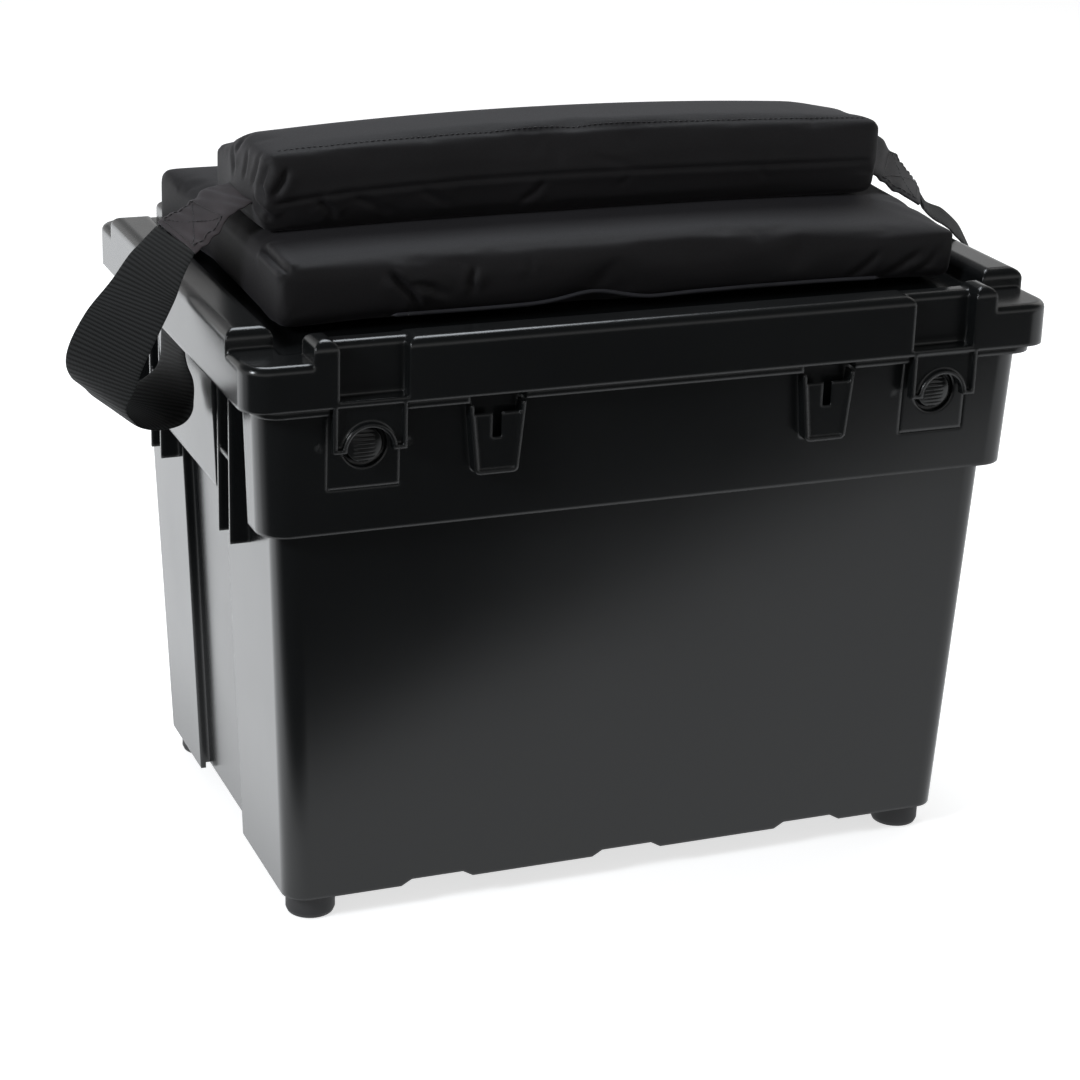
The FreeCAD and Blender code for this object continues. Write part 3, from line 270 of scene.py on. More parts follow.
# %% [markdown]
# ## Moulded plastic
# The tub and lid are black polypropylene from a tool with a fine spark-eroded grain. Up close
# the grain is a bump about 0.4 mm across, and from a metre away it only softens the
# highlights. Real edges are never knife sharp: a Bevel node rounds the shading of each edge,
# by 2.6 mm on the black box and by 0.7 or 1 mm on the rest, which gives the light lines along
# them. Slow changes of roughness stand for handling and the flow of the plastic.

# %% Plastics and rubber
def plastic(name, colour, roughness, grain, edge=0.7 * MM):
    """Moulded plastic: a colour that varies a little, satin gloss, grain and soft edges."""
    material, tree = new_material(name)
    place = tree.add("ShaderNodeTexCoord").outputs["Object"]
    cloud = tree.noise(place, 9.0)
    fine = tree.noise(place, 2600.0, 2.0)
    speck = tree.noise(place, 190.0, 4.0)
    handled = tree.ramp(cloud, (0.3, roughness - 0.02), (0.7, roughness + 0.03))
    rough = tree.math("MULTIPLY_ADD", speck, 0.02, tree.math("SUBTRACT", handled, 0.01))
    tone = tree.blend(cloud, [c * 0.88 for c in colour], [c * 1.14 for c in colour])
    soft_edge = tree.add("ShaderNodeBevel", {"samples": 8}, Radius=edge).outputs[0]
    bump = tree.add(
        "ShaderNodeBump", Strength=grain, Distance=0.12 * MM, Height=fine, Normal=soft_edge
    )
    tree.shade(Base_Color=tone, Roughness=rough, IOR=1.5, Normal=bump.outputs[0])
    return material


box_plastic = plastic("box_plastic", (0.0055, 0.0061, 0.0064), 0.21, 0.02, 2.6 * MM)
button_plastic = plastic("button_plastic", (0.0052, 0.0056, 0.0058), 0.28, 0.04)
tray_plastic = plastic("tray_plastic", (0.05, 0.052, 0.055), 0.36, 0.10)
foot_rubber = plastic("foot_rubber", (0.016, 0.016, 0.017), 0.62, 0.5, 1.0 * MM)
print("four mouldings' finishes")

# %% [markdown]
# ## Metal and foam
# Screws, hinge pins, springs and the strap's clamp plates are zinc plated: a bright grey with
# faint milky clouds and fine marks, which all run along X. The foam is only seen if a cover is
# taken off, but it gets a finish as well, with open cells as small pits, painted darker as shade.

# %% Zinc and foam
def zinc_plate():
    """Bright zinc: metal with milky clouds in its roughness and fine marks along X."""
    material, tree = new_material("zinc_plate")
    place = tree.add("ShaderNodeTexCoord").outputs["Object"]
    stretch = tree.add("ShaderNodeMapping", Vector=place, Scale=(90.0, 2200.0, 2200.0)).outputs[0]
    marks = tree.noise(stretch, 1.0, 2.0)
    cloud = tree.noise(place, 240.0)
    rough = tree.ramp(cloud, (0.3, 0.24), (0.7, 0.42))
    bump = tree.add("ShaderNodeBump", Strength=0.15, Distance=0.05 * MM, Height=marks)
    tree.shade(
        Base_Color=(0.56, 0.57, 0.58, 1), Metallic=1.0, Roughness=rough, Normal=bump.outputs[0]
    )
    return material


def open_foam():
    """Cream foam with its cells as pits from a Voronoi pattern, painted darker as the pits' shade.
    """
    material, tree = new_material("seat_foam")
    place = tree.add("ShaderNodeTexCoord").outputs["Object"]
    cells = tree.add("ShaderNodeTexVoronoi", Vector=place, Scale=900.0).outputs["Distance"]
    # painted shade: the cream is darker at each cell's middle, where its pit is deepest
    tone = tree.blend(cells, (0.34, 0.30, 0.20), (0.66, 0.62, 0.50))
    bump = tree.add("ShaderNodeBump", Strength=0.6, Distance=0.4 * MM, Height=cells)
    tree.shade(Base_Color=tone, Roughness=0.95, Normal=bump.outputs[0])
    return material


zinc, foam = zinc_plate(), open_foam()
print("zinc and foam")

# %% [markdown]
# ## Cloth
# The covers are woven nylon, so fine that from a metre its weave is only a sheen that catches
# light at flat angles. Its bump is made of three sets of fine ridges along X, Y and Z: on any
# face two of them cross, which looks woven whichever way the face looks, and needs no
# unwrapping. The webbing is coarser, so its ribs follow the strap by the strap's own UV map.

# %% Nylon, webbing and thread
def ridges(tree, place, direction, pitch):
    """Smooth ridges across a direction, one for each pitch in metres."""
    return tree.add(
        "ShaderNodeTexWave",
        {"wave_type": "BANDS", "bands_direction": direction, "wave_profile": "SIN"},
        Vector=place, Scale=math.pi / 10 / pitch,
    ).outputs["Fac"]


def nylon(name, colour, light, sheen, roughness=0.62, gloss=0.5):
    """Fine woven nylon: crossing ridges, cloudy tone, soft gloss and a sheen at its rim."""
    material, tree = new_material(name)
    place = tree.add("ShaderNodeTexCoord").outputs["Object"]
    threads = [ridges(tree, place, axis, 0.55 * MM) for axis in "XYZ"]
    weave = tree.math("ADD", tree.math("ADD", threads[0], threads[1]), threads[2])
    cloud = tree.noise(place, 26.0, 5.0)
    fleck = tree.noise(place, 900.0, 2.0)
    tone = tree.blend(tree.ramp(cloud, (0.3, 0), (0.7, 1)), colour, light)
    rough = tree.math("MULTIPLY_ADD", fleck, 0.16, roughness - 0.08)
    bump = tree.add("ShaderNodeBump", Strength=0.12, Distance=0.08 * MM, Height=weave)
    slack = tree.add("ShaderNodeBump", Strength=0.30, Distance=0.9 * MM, Height=cloud)
    tree.put(bump, "Normal", slack.outputs[0])
    tree.shade(
        Base_Color=tone, Roughness=rough, Normal=bump.outputs[0], Specular_IOR_Level=gloss,
        Sheen_Weight=sheen, Sheen_Roughness=0.45, Sheen_Tint=(0.80, 0.78, 0.86, 1),
    )
    return material


def ribbed_webbing():
    """Black webbing: ribs across the strap every 2.2 mm, fine threads along it, painted light on
    their tops and painted shade between them, dull gloss.
    """
    material, tree = new_material("ribbed_webbing")
    along = tree.add("ShaderNodeUVMap", {"uv_map": "strap"}).outputs[0]
    ribs = ridges(tree, along, "Y", 2.2 * MM)
    threads = ridges(tree, along, "X", 1.05 * MM)
    fibre = tree.noise(along, 2400.0, 2.0)
    height = tree.math("MULTIPLY_ADD", threads, 0.35, tree.math("MULTIPLY_ADD", fibre, 0.3, ribs))
    # painted light and shade: the tops of ribs and threads are painted lighter and their grooves
    # darker; the fibre noise adds a little real tone
    painted_rib_shading = tree.ramp(height, (0.5, 0.0), (1.0, 1.0))
    tone = tree.blend(painted_rib_shading, (0.0012, 0.0013, 0.0014), (0.015, 0.016, 0.016))
    bump = tree.add("ShaderNodeBump", Strength=0.55, Distance=0.5 * MM, Height=height)
    tree.shade(
        Base_Color=tone, Roughness=0.76, Normal=bump.outputs[0], Specular_IOR_Level=0.22,
        Sheen_Weight=0.04, Sheen_Roughness=0.4,
    )
    return material


def sewing_thread():
    """Twisted polyester thread, a little lighter than the cloth that it sews."""
    material, tree = new_material("sewing_thread")
    place = tree.add("ShaderNodeTexCoord").outputs["Object"]
    twist = tree.noise(place, 1500.0, 1.0)
    tone = tree.blend(twist, (0.008, 0.007, 0.008), (0.022, 0.020, 0.022))
    tree.shade(Base_Color=tone, Roughness=0.5)
    return material


cover_nylon = nylon(
    "cover_nylon", (0.0042, 0.0035, 0.0042), (0.0066, 0.0056, 0.0066), 0.05, 0.70, 0.36)
tab_nylon = nylon("tab_nylon", (0.012, 0.0085, 0.0095), (0.030, 0.022, 0.024), 0.10, 0.85)
# painted highlight: the hem is sewn of the cover's cloth, and this lighter, bluish copy of it
# stands in for the light along its rounded bead
hem_nylon_painted_highlight = nylon("hem_nylon_painted_highlight", (0.016, 0.016, 0.020), (0.028, 0.028, 0.034), 0.1, 0.6)
webbing_cloth = ribbed_webbing()
thread = sewing_thread()
print("three nylons, webbing and thread")

# %% [markdown]
# ## Finishes for the CAD nodes
# Each CAD node names a material slot in its record, and each slot gets its finish here, so no
# node is left with the plain colour that the CAD model was packed with.

# %% Finish every CAD node
FINISHES = {
    "plastic": box_plastic,
    "tray_plastic": tray_plastic,
    "button_plastic": button_plastic,
    "foot_rubber": foot_rubber,
    "zinc_steel": zinc,
    "cover_cloth": cover_nylon,
    "tab_cloth": tab_nylon,
    "webbing": webbing_cloth,
    "foam": foam,
}
slot_of = {part["node"]: part["material_slot"] for part in frame["record"]["subparts"]}
for name, node in cad_nodes.items():
    node.data.materials.clear()
    node.data.materials.append(FINISHES[slot_of[name]])
print(f"{len(slot_of)} nodes have their finish")

# %% [markdown]
# ## Building meshes from arrays
# Cloth pieces start as surfaces worked out with whole arrays. A mesh is made from an array of
# points and an array of four-cornered faces. A tube or strip is a grid of rings along a path:
# its faces join each ring to the next, and closed rings wrap round.


# %% Mesh helpers
def add_mesh(name, points, faces, material):
    """An object from an (n, 3) array of points in metres and an (m, 4) array of corners."""
    mesh = bpy.data.meshes.new(name)
    mesh.from_pydata(points.tolist(), [], faces.tolist())
    mesh.polygons.foreach_set("use_smooth", np.full(len(faces), True))
    mesh.materials.append(material)
    mesh.validate()
    piece = bpy.data.objects.new(name, mesh)
    bpy.context.scene.collection.objects.link(piece)
    return piece


def grid_faces(rows, columns, closed):
    """Faces of a grid of points numbered row by row; closed rows join last column to first."""
    row = np.arange(rows - 1)[:, None]
    column = np.arange(columns if closed else columns - 1)[None, :]
    near = row * columns + column
    far = row * columns + (column + 1) % columns
    return np.stack([near, far, far + columns, near + columns], axis=-1).reshape(-1, 4)


def tube_faces(rows, columns):
    """A closed tube's faces with a fan of four-cornered faces over each end ring."""
    ends = []
    for start, flip in ((0, True), ((rows - 1) * columns, False)):
        left = start + np.arange(columns // 2)
        right = start + columns - 1 - np.arange(columns // 2)
        cap = np.stack([left[:-1], left[1:], right[1:], right[:-1]], axis=-1)
        ends.append(cap[:, ::-1] if flip else cap)
    return np.concatenate([grid_faces(rows, columns, True)[:, ::-1], *ends])


def unit(vectors):
    """Each vector divided by its own length."""
    return vectors / np.maximum(np.linalg.norm(vectors, axis=-1, keepdims=True), 1e-12)


def smooth_path(points, steps):
    """A Catmull-Rom curve: each stretch is the cubic that passes through its two ends with the
    slope of their neighbours' chord. Works on rows of any length, so also on directions."""
    points = np.asarray(points, float)
    first, last = 2 * points[0] - points[1], 2 * points[-1] - points[-2]
    held = np.concatenate([[first], points, [last]])
    at = np.linspace(0, len(points) - 1, steps)
    start = np.minimum(at.astype(int), len(points) - 2)
    t = (at - start)[:, None]
    a, b, c, d = (held[start + shift] for shift in range(4))
    return 0.5 * (2 * b + (c - a) * t + (2 * a - 5 * b + 4 * c - d) * t**2
                  + (3 * b - a - 3 * c + d) * t**3)


def way_along(place):
    """How far along the path each of its points is."""
    return np.concatenate([[0], np.cumsum(np.linalg.norm(np.diff(place, axis=0), axis=1))])


def between(at, gone, rows):
    """Rows at the ways named in at, straight between the rows that belong to the ways gone."""
    return np.stack([np.interp(at, gone, rows[:, k]) for k in range(rows.shape[1])], axis=-1)


def evenly(path, count):
    """The same path with its points at equal distances along it."""
    gone = way_along(path[:, :3])
    return between(np.linspace(0, gone[-1], count), gone, path)


print("mesh helpers ready")

# %% [markdown]
# ## Stuffed cloth
# A cushion is a block of foam in a cover that is a little too large for it. The block is a
# cube's skin pulled onto a rounded box: each point is clamped to an inner box and moved out
# from it by the corner radius. The top is crowned, and the sides pull in between the corners.
# Then the cover is simulated as cloth with air pressing from inside: the places where cloth is
# spare buckle by themselves, which no formula does as well. How far a point may move is
# capped, so that the cushion keeps the size and the place that the CAD model gives it.


# %% Stuffed block
def cube_skin(counts):
    """Points and faces of a cube from -1 to 1, gridded by counts on each axis and welded."""
    points, faces, base = [], [], 0
    for axis in range(3):
        a, b = [k for k in range(3) if k != axis]
        u, v = np.meshgrid(
            np.linspace(-1, 1, counts[a] + 1), np.linspace(-1, 1, counts[b] + 1), indexing="ij"
        )
        for side in (-1, 1):
            sheet = np.empty((u.size, 3))
            sheet[:, a], sheet[:, b], sheet[:, axis] = u.ravel(), v.ravel(), side
            points.append(sheet)
            skin = grid_faces(counts[a] + 1, counts[b] + 1, False) + base
            outward = (side > 0) == (axis == 1)
            faces.append(skin if outward else skin[:, ::-1])
            base += u.size
    points, faces = np.concatenate(points), np.concatenate(faces)
    _, keep, where = np.unique(
        np.round(points, 6), axis=0, return_index=True, return_inverse=True
    )
    return points[keep], where.ravel()[faces]


def rounded_box(skin, low, high, radius):
    """The skin on a box: clamp each point to the box shrunk by the radius, then step outwards."""
    low, high = np.array(low), np.array(high)
    middle, half = (low + high) / 2, (high - low) / 2
    reach = skin * half
    core = np.clip(reach, -(half - radius), half - radius)
    return middle + core + radius * unit(reach - core)


CLOTH_FRAMES = 20


def settle(piece, pressure, spare, cap, floor_z):
    """Runs the cloth with air inside, then moves each point by at most cap towards the result,
    and never below floor_z."""
    cloth = piece.modifiers.new("cover", "CLOTH")
    cloth.settings.quality = 6
    cloth.settings.mass = 0.12
    cloth.settings.use_pressure = True
    cloth.settings.uniform_pressure_force = pressure
    cloth.settings.shrink_min = -spare
    cloth.settings.bending_stiffness = 0.6
    cloth.settings.effector_weights.gravity = 0
    cloth.collision_settings.use_collision = False
    cloth.point_cache.frame_start = 1
    cloth.point_cache.frame_end = CLOTH_FRAMES
    scene = bpy.context.scene
    for number in range(1, CLOTH_FRAMES + 1):
        scene.frame_set(number)
    shape = piece.evaluated_get(bpy.context.evaluated_depsgraph_get()).data
    before, after = read_points(piece.data), read_points(shape)
    move = after - before
    length = np.linalg.norm(move, axis=1, keepdims=True)
    after = before + move * np.minimum(1, cap / np.maximum(length, 1e-9))
    after[:, 2] = np.maximum(after[:, 2], floor_z)
    piece.modifiers.remove(cloth)
    scene.frame_set(1)
    write_points(piece.data, after)
    furthest = 1000 * length.max()
    print(f"{piece.name}: cloth moved by up to {furthest:.1f} mm, kept within {1000 * cap:.0f}")


def read_vectors(elements, name):
    """One vector of each element, by its name, as an (n, 3) array."""
    flat = np.empty(len(elements) * 3, np.float32)
    elements.foreach_get(name, flat)
    return flat.reshape(-1, 3).astype(float)


def read_points(mesh):
    """A mesh's points as an (n, 3) array."""
    return read_vectors(mesh.vertices, "co")


def write_points(mesh, points):
    """Puts an (n, 3) array into a mesh."""
    mesh.vertices.foreach_set("co", points.astype(np.float32).ravel())
    mesh.update()


def apply_modifiers(piece):
    """Puts the result of the piece's modifiers into its mesh and removes them."""
    shape = piece.evaluated_get(bpy.context.evaluated_depsgraph_get())
    mesh = bpy.data.meshes.new_from_object(shape)
    mesh.name = piece.data.name
    piece.modifiers.clear()
    piece.data = mesh
    mesh.polygons.foreach_set("use_smooth", np.full(len(mesh.polygons), True))


def even_skin(piece, size):
    """Rebuilds the piece's skin as even squares of that size."""
    remesh = piece.modifiers.new("even", "REMESH")
    remesh.mode = "VOXEL"
    remesh.voxel_size = size
    apply_modifiers(piece)


def finer(piece):
    """Divides each face into four, smoothly."""
    divide = piece.modifiers.new("finer", "SUBSURF")
    divide.levels = divide.render_levels = 1
    apply_modifiers(piece)


print("stuffing helpers ready")

# %% [markdown]
# ## Creases and sewn lines
# A crease is a groove with a soft roll of cloth beside it. Given its line as points in space,
# each point of the cushion looks up its distance to the nearest stretch of the line, and moves
# along its own normal by a narrow dip minus a wider rise, fading out at both ends of the line.


# %% Creases
def line_distance(points, line):
    """Distance from each point to a polyline, and the share of its length, 0 to 1, at which the
    nearest place lies."""
    line = np.asarray(line, float)
    best = np.full(len(points), np.inf)
    along = np.zeros(len(points))
    stretches = len(line) - 1
    for number in range(stretches):
        start, step = line[number], line[number + 1] - line[number]
        t = np.clip((points - start) @ step / (step @ step), 0, 1)
        gap = np.linalg.norm(points - start - t[:, None] * step, axis=1)
        nearer = gap < best
        best[nearer] = gap[nearer]
        along[nearer] = (number + t[nearer]) / stretches
    return best, along


def normals_of(mesh):
    """A mesh's point normals as an (n, 3) array."""
    return read_vectors(mesh.vertex_normals, "vector")


def lay_on(piece, line, count=400):
    """A polyline in mm, cut into count equal steps and moved onto the piece, with its normals."""
    line = evenly(np.asarray(line, float) * MM, count)
    points, normals = read_points(piece.data), normals_of(piece.data)
    gap = ((line[:, None, :] - points[None, :, :]) ** 2).sum(axis=2)
    nearest = gap.argmin(axis=1)
    normal = normals[nearest]
    off = np.sum((line - points[nearest]) * normal, axis=1, keepdims=True)
    return line - normal * off, normal


def crease(piece, line, depth, width, roll=0.35, fade=0.25):
    """Moves points along their normals by -depth*exp(-(d/width)^2) + roll*depth*exp(-(d/3width)^2),
    where d is the distance to the line as laid on the piece, fading over that share of its length
    at both ends."""
    points, normals = read_points(piece.data), normals_of(piece.data)
    distance, along = line_distance(points, lay_on(piece, line, 24)[0])
    ends = np.minimum(1, np.minimum(along, 1 - along) / fade)
    dip = np.exp(-((distance / width) ** 2)) - roll * np.exp(-((distance / (3 * width)) ** 2))
    write_points(piece.data, points - normals * (depth * dip * ends)[:, None])


print("crease helpers ready")

# %% [markdown]
# ## The seat cushion
# It is a thick slab of foam in boxed nylon. In the photograph its front hem isn't drawn down to
# the deck: it lifts in a wave, with a dark gap under it. So the lower front is raised by a few
# bumps along its length. The corners stand a little proud, and the front face has a few sharp
# creases near its left end and a fan of faint ones near its right end.

# %% Seat cushion
cushion_low, cushion_high = (np.array(corner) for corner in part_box("seat_cushion_cover"))
pad_low, pad_high = (np.array(corner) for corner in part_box("strap_pad_cover"))


def bell(x, middle, reach):
    """A smooth bump of height 1 at the middle: exp(-(distance/reach)^2)."""
    return np.exp(-(((x - middle) / reach) ** 2))


def step_up(x, start, end):
    """From 0 at start to 1 at end, smoothly: 3t^2 - 2t^3."""
    t = np.clip((x - start) / (end - start), 0, 1)
    return t * t * (3 - 2 * t)


HEM_HEIGHT = 5.8
HEM_BELLS = (
    (4.4, -0.022, 0.020), (-0.9, 0.012, 0.016), (0.7, 0.095, 0.05),
    (0.5, -0.13, 0.02), (-1.6, -0.195, 0.03), (-1.6, 0.195, 0.02),
)
SKIN_INSET = 0.8 * MM


def hem_lift(x):
    """How far the front hem stands off the deck at x: a height with bells side by side, each
    given by its rise in mm and its middle and reach in metres."""
    return MM * (HEM_HEIGHT + sum(rise * bell(x, *at) for rise, *at in HEM_BELLS))


def shares(points, low, high):
    """Where the points lie in a box: u and v from -1 to 1 along X and Y, top from 0 to 1 up."""
    u, v = (
        (points[:, k] - (low[k] + high[k]) / 2) / (high[k] - low[k]) * 2 for k in range(2)
    )
    return u, v, np.clip((points[:, 2] - low[2]) / (high[2] - low[2]), 0, 1)


def cushion_skin():
    """A rounded slab. Its top is a nearly flat sheet that falls to the right at the front and
    swells at the right end, its sides pull in between the corners by a half wave, its left
    back corner stands out, and its front leans in below."""
    skin, faces = cube_skin((100, 60, 14))
    low, high = cushion_low + SKIN_INSET, cushion_high - [SKIN_INSET, SKIN_INSET, 1.6 * MM]
    points = rounded_box(skin, low, high, 4.5 * MM)
    x, y, _ = points.T  # these follow as the points move
    u, v, top = shares(points, low, high)
    pull = 2.4 * MM
    points[:, 1] -= pull * v * (1 - u**2)
    points[:, 0] -= pull * u * (1 - v**2)
    points[:, 0] -= 4.5 * MM * step_up(-u, 0.8, 1.0) * step_up(v, 0.2, 1.0)
    crown = 1.5 * (1 - u**4) * (1 - v**4)
    fall = (5.5 - 4.5 * step_up(y, -0.108, -0.045)) * step_up(x, 0.04, 0.195)
    swell = 4.5 * bell(y, 0.03, 0.07) * step_up(x, 0.168, 0.19)
    points[:, 2] += MM * (crown - fall + swell) * top
    front = np.clip((low[1] + 0.03 - y) / 0.03, 0, 1)
    points[:, 1] += 2.5 * MM * front * (1 - top)
    points[:, 2] += hem_lift(x) * front * (1 - top) ** 1.5
    return points, faces


cushion = add_mesh("seat_cushion", *cushion_skin(), cover_nylon)
even_skin(cushion, 3.5 * MM)
settle(cushion, 0.8, 0.012, 2.0 * MM, cushion_low[2])
finer(cushion)
FRONT_Y = 1000 * cushion_low[1]
# Each crease has its x and z on the front face, then its depth and width, all in mm.
for line, depth, width in (
    ([(-138, 360), (-130, 351), (-124, 345), (-120, 335)], 6.5, 2.3),
    ([(-127, 352), (-113, 348), (-104, 341)], 3.0, 2.2),
    ([(-90, 360), (-92, 349), (-90, 343)], 3.6, 2.3),
    ([(-60, 361), (-57, 352)], 1.4, 2.6),
    ([(128, 331), (143, 344), (150, 352)], 2.0, 2.6),
    ([(150, 331), (166, 343), (176, 349)], 2.4, 2.6),
    ([(168, 333), (180, 341), (186, 351)], 1.6, 2.4),
):
    crease(cushion, [(x, FRONT_Y, z) for x, z in line], depth * MM, width * MM, roll=0.5)
crease(cushion, [(-193, -112, 364), (-195, -85, 366), (-194, -56, 366)],
       5.0 * MM, 2.0 * MM, roll=0.5, fade=0.12)
print(f"seat cushion: {len(cushion.data.polygons)} faces")

# %% [markdown]
# ## The strap's pad
# A second, narrower cushion lies on the seat: the shoulder pad of the carrying strap. A seam
# runs along its front at half height, drawn in so that the cloth below it puckers, and another
# along its top is drawn in more lightly and gets its stitches later. At the pad's left end the
# cover is gathered to the tab that holds the webbing, with deep upright folds.

# %% Strap pad
def pad_skin():
    """As the seat cushion, but its top is a ridge: highest in the middle, lower at both ends, and
    falling away behind. The left end swells towards the tab like a bell, the right end's back is
    drawn in by a share that grows over its last stretch, and the front leans in below the seam."""
    skin, faces = cube_skin((110, 34, 18))
    low, high = pad_low + SKIN_INSET, pad_high - [4.5 * MM, SKIN_INSET, 2 * MM]
    points = rounded_box(skin, low, high, 5 * MM)
    _, y, z = points.T  # these follow as the points move
    u, v, top = shares(points, low, high)
    left, right = step_up(-u, 0.97, 1.0), step_up(u, 0.80, 1.0)
    behind = step_up(v, -0.1, 1.0)
    fall = 6.0 * u**2 + 15 * behind + 4 * right * step_up(v, -0.9, 0.4)
    points[:, 2] -= MM * (fall - 0.5) * top
    points[:, 0] -= 5 * MM * left * bell(y, -0.015, 0.033) * bell(z, 0.384, 0.014)
    points[:, 1] -= 0.30 * right * np.clip(v, 0, 1) * (y - low[1])
    points[:, 1] -= 1.5 * MM * v * (1 - u**2)
    front = np.clip(-v, 0, 1) ** 4
    points[:, 1] += 6 * MM * front * np.clip(0.5 - top, 0, 1) / 0.5
    return points, faces


pad = add_mesh("strap_pad", *pad_skin(), cover_nylon)
even_skin(pad, 2.8 * MM)
settle(pad, 0.9, 0.014, 2.2 * MM, pad_low[2])
finer(pad)
PAD_Y = 1000 * pad_low[1]
PAD_SEAM = [
    (-186, 383), (-165, 386.5), (-141, 388.6), (-80, 391), (-21, 391.5), (80, 390), (174, 388),
]
crease(pad, [(x, PAD_Y, z) for x, z in PAD_SEAM], 1.5 * MM, 1.5 * MM, roll=0.5, fade=0.02)
crease(pad, [(-182, -47, 409), (-90, -47, 415), (0, -47, 416), (90, -47, 415), (168, -47, 409)],
       0.35 * MM, 1.6 * MM, roll=0.2, fade=0.02)
for line, depth, width in (
    ([(-160, -54, 386), (-152, -54, 378), (-149, -54, 371)], 2.8, 2.4),
    ([(-142, -54, 387), (-128, -54, 380), (-118, -54, 371)], 1.8, 2.6),
    ([(-104, -54, 389), (-92, -54, 381), (-84, -54, 374)], 1.6, 2.6),
    ([(-30, -54, 390), (-36, -54, 381), (-46, -54, 374)], 1.6, 2.6),
    ([(20, -54, 390), (14, -54, 381)], 0.7, 2.6),
    ([(96, -54, 389), (106, -54, 379)], 0.7, 2.6),
    ([(-8, -54, 402), (10, -54, 396), (26, -54, 392)], 0.7, 2.6),
    ([(-186, -53, 407), (-190, -48, 394), (-187, -51, 384)], 3.6, 2.2),
    ([(-176, -54, 404), (-179, -54, 396), (-184, -52, 388)], 4.0, 2.2),
    ([(-192, -38, 386), (-188, -48, 380), (-184, -53, 372)], 4.2, 2.2),
    ([(-192, -34, 390), (-187, -38, 400), (-184, -40, 408)], 1.8, 2.4),
    ([(-192, -22, 391), (-187, -20, 400), (-184, -18, 406)], 1.4, 2.4),
    ([(-192, -4, 390), (-187, 8, 398), (-184, 16, 401)], 1.6, 2.4),
):
    crease(pad, line, depth * MM, width * MM, roll=0.5)
print(f"strap pad: {len(pad.data.polygons)} faces")

# %% [markdown]
# ## Webbing
# The webbing is woven flat, 50 mm wide and 2 mm thick, and hangs in a loop beside the lid. A
# strip like this bends easily one way only, so its route is written as stations: a place, and
# the direction across the strap there. A cubic through the stations gives the loop, and at each
# step the cross-section is a flat oval laid along the across direction.

# %% Webbing
WEBBING_WIDTH, WEBBING_THICKNESS = 50 * MM, 2 * MM
SECTION_HALF = 22  # half the points round a strip's section


def route_of(stations, steps):
    """Places and across directions at equal steps along the smooth curve through the stations."""
    ends = [(*place, *across) for place, across in stations]
    route = evenly(smooth_path(ends, 12 * steps), steps)
    place, across = route[:, :3] * MM, unit(route[:, 3:])
    forward = unit(np.gradient(place, axis=0))
    across = unit(across - forward * np.sum(across * forward, axis=1, keepdims=True))
    return place, across, np.cross(forward, across)


def strip(name, route, width, thickness, material, wave=None):
    """A flat strip along a route. Its section is a long oval, |x|^6 + |y|^2 = 1, and wave, a
    function of the ways along and across, lifts it off the route. Its UV map is in metres."""
    place, across, normal = route
    angle = np.linspace(0, 2 * math.pi, 2 * SECTION_HALF, endpoint=False)
    side = np.sign(np.cos(angle)) * np.abs(np.cos(angle)) ** (1 / 3) * width / 2
    rise = np.sin(angle) * thickness / 2
    gone = way_along(place)
    lift = np.zeros((len(gone), len(side))) if wave is None else wave(gone[:, None], side[None, :])
    points = (place[:, None] + across[:, None] * side[None, :, None]
              + normal[:, None] * (rise[None, :] + lift)[..., None])
    faces = tube_faces(len(gone), 2 * SECTION_HALF)
    piece = add_mesh(name, points.reshape(-1, 3), faces, material)
    corner_uv = np.stack(np.broadcast_arrays(side[None, :], gone[:, None]), axis=-1).reshape(-1, 2)
    layer = piece.data.uv_layers.new(name="strap")
    corners = np.empty(len(piece.data.loops), np.int32)
    piece.data.loops.foreach_get("vertex_index", corners)
    layer.data.foreach_set("uv", corner_uv[corners].astype(np.float32).ravel())
    print(f"{name}: {1000 * gone[-1]:.0f} mm long, {len(faces)} faces")
    return piece, gone[-1]


LID_SIDE = 1000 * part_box("lid")[1][0]
ANCHOR_RISE = 29.7
SKIRT_Z = 1000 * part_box("strap_anchor_left")[1][2] - ANCHOR_RISE
SEAT_TOP = 1000 * cushion_high[2]
HANG_IN, ANCHOR_IN = 4.3, 7.3
# The clamped end, as mm inside the lid's side and mm above SKIRT_Z.
HELD_END = ((HANG_IN, -7), (HANG_IN, 4), (ANCHOR_IN, 14), (ANCHOR_IN, ANCHOR_RISE))
LEFT_LOOP = [
    (6, -16, 43, (0.3, -0.94, -0.05)),
    (15, -17, 29, (0.48, -0.87, 0.0)),
    (29, -23, 12, (0.56, -0.82, -0.12)),
    (40, -26, -7, (0.54, -0.8, -0.25)),
    (42, -26, -22, (0.42, -0.72, -0.5)),
    (36, -24, -33, (0.52, -0.76, -0.35)),
    (25, -20, -39.3, (0.62, -0.75, -0.2)),
    (13, -14, -40.8, (0.62, -0.78, -0.05)),
    (5, -8, -35, (0.45, -0.89, 0.0)),
    (-3, -3, -23, (0.1, -1, 0.0)),
]
RIGHT_LOOP = [
    (-6, -26, 45, (-0.42, -0.89, 0.06)),
    (5, -29, 38, (-0.45, -0.86, 0.03)),
    (15, -31, 28, (-0.42, -0.88, 0.03)),
    (24, -30, 13, (-0.35, -0.92, 0.0)),
    (34, -28, -4, (-0.3, -0.93, -0.1)),
    (38, -26, -20, (-0.3, -0.9, -0.25)),
    (34, -24, -32, (-0.3, -0.88, -0.3)),
    (25, -20, -39.3, (-0.2, -0.93, -0.2)),
    (13, -14, -40.8, (-0.1, -0.98, -0.1)),
    (2, -8, -35, (-0.03, -1, -0.04)),
    (-4, -3, -23, (0.0, -1, 0.0)),
]
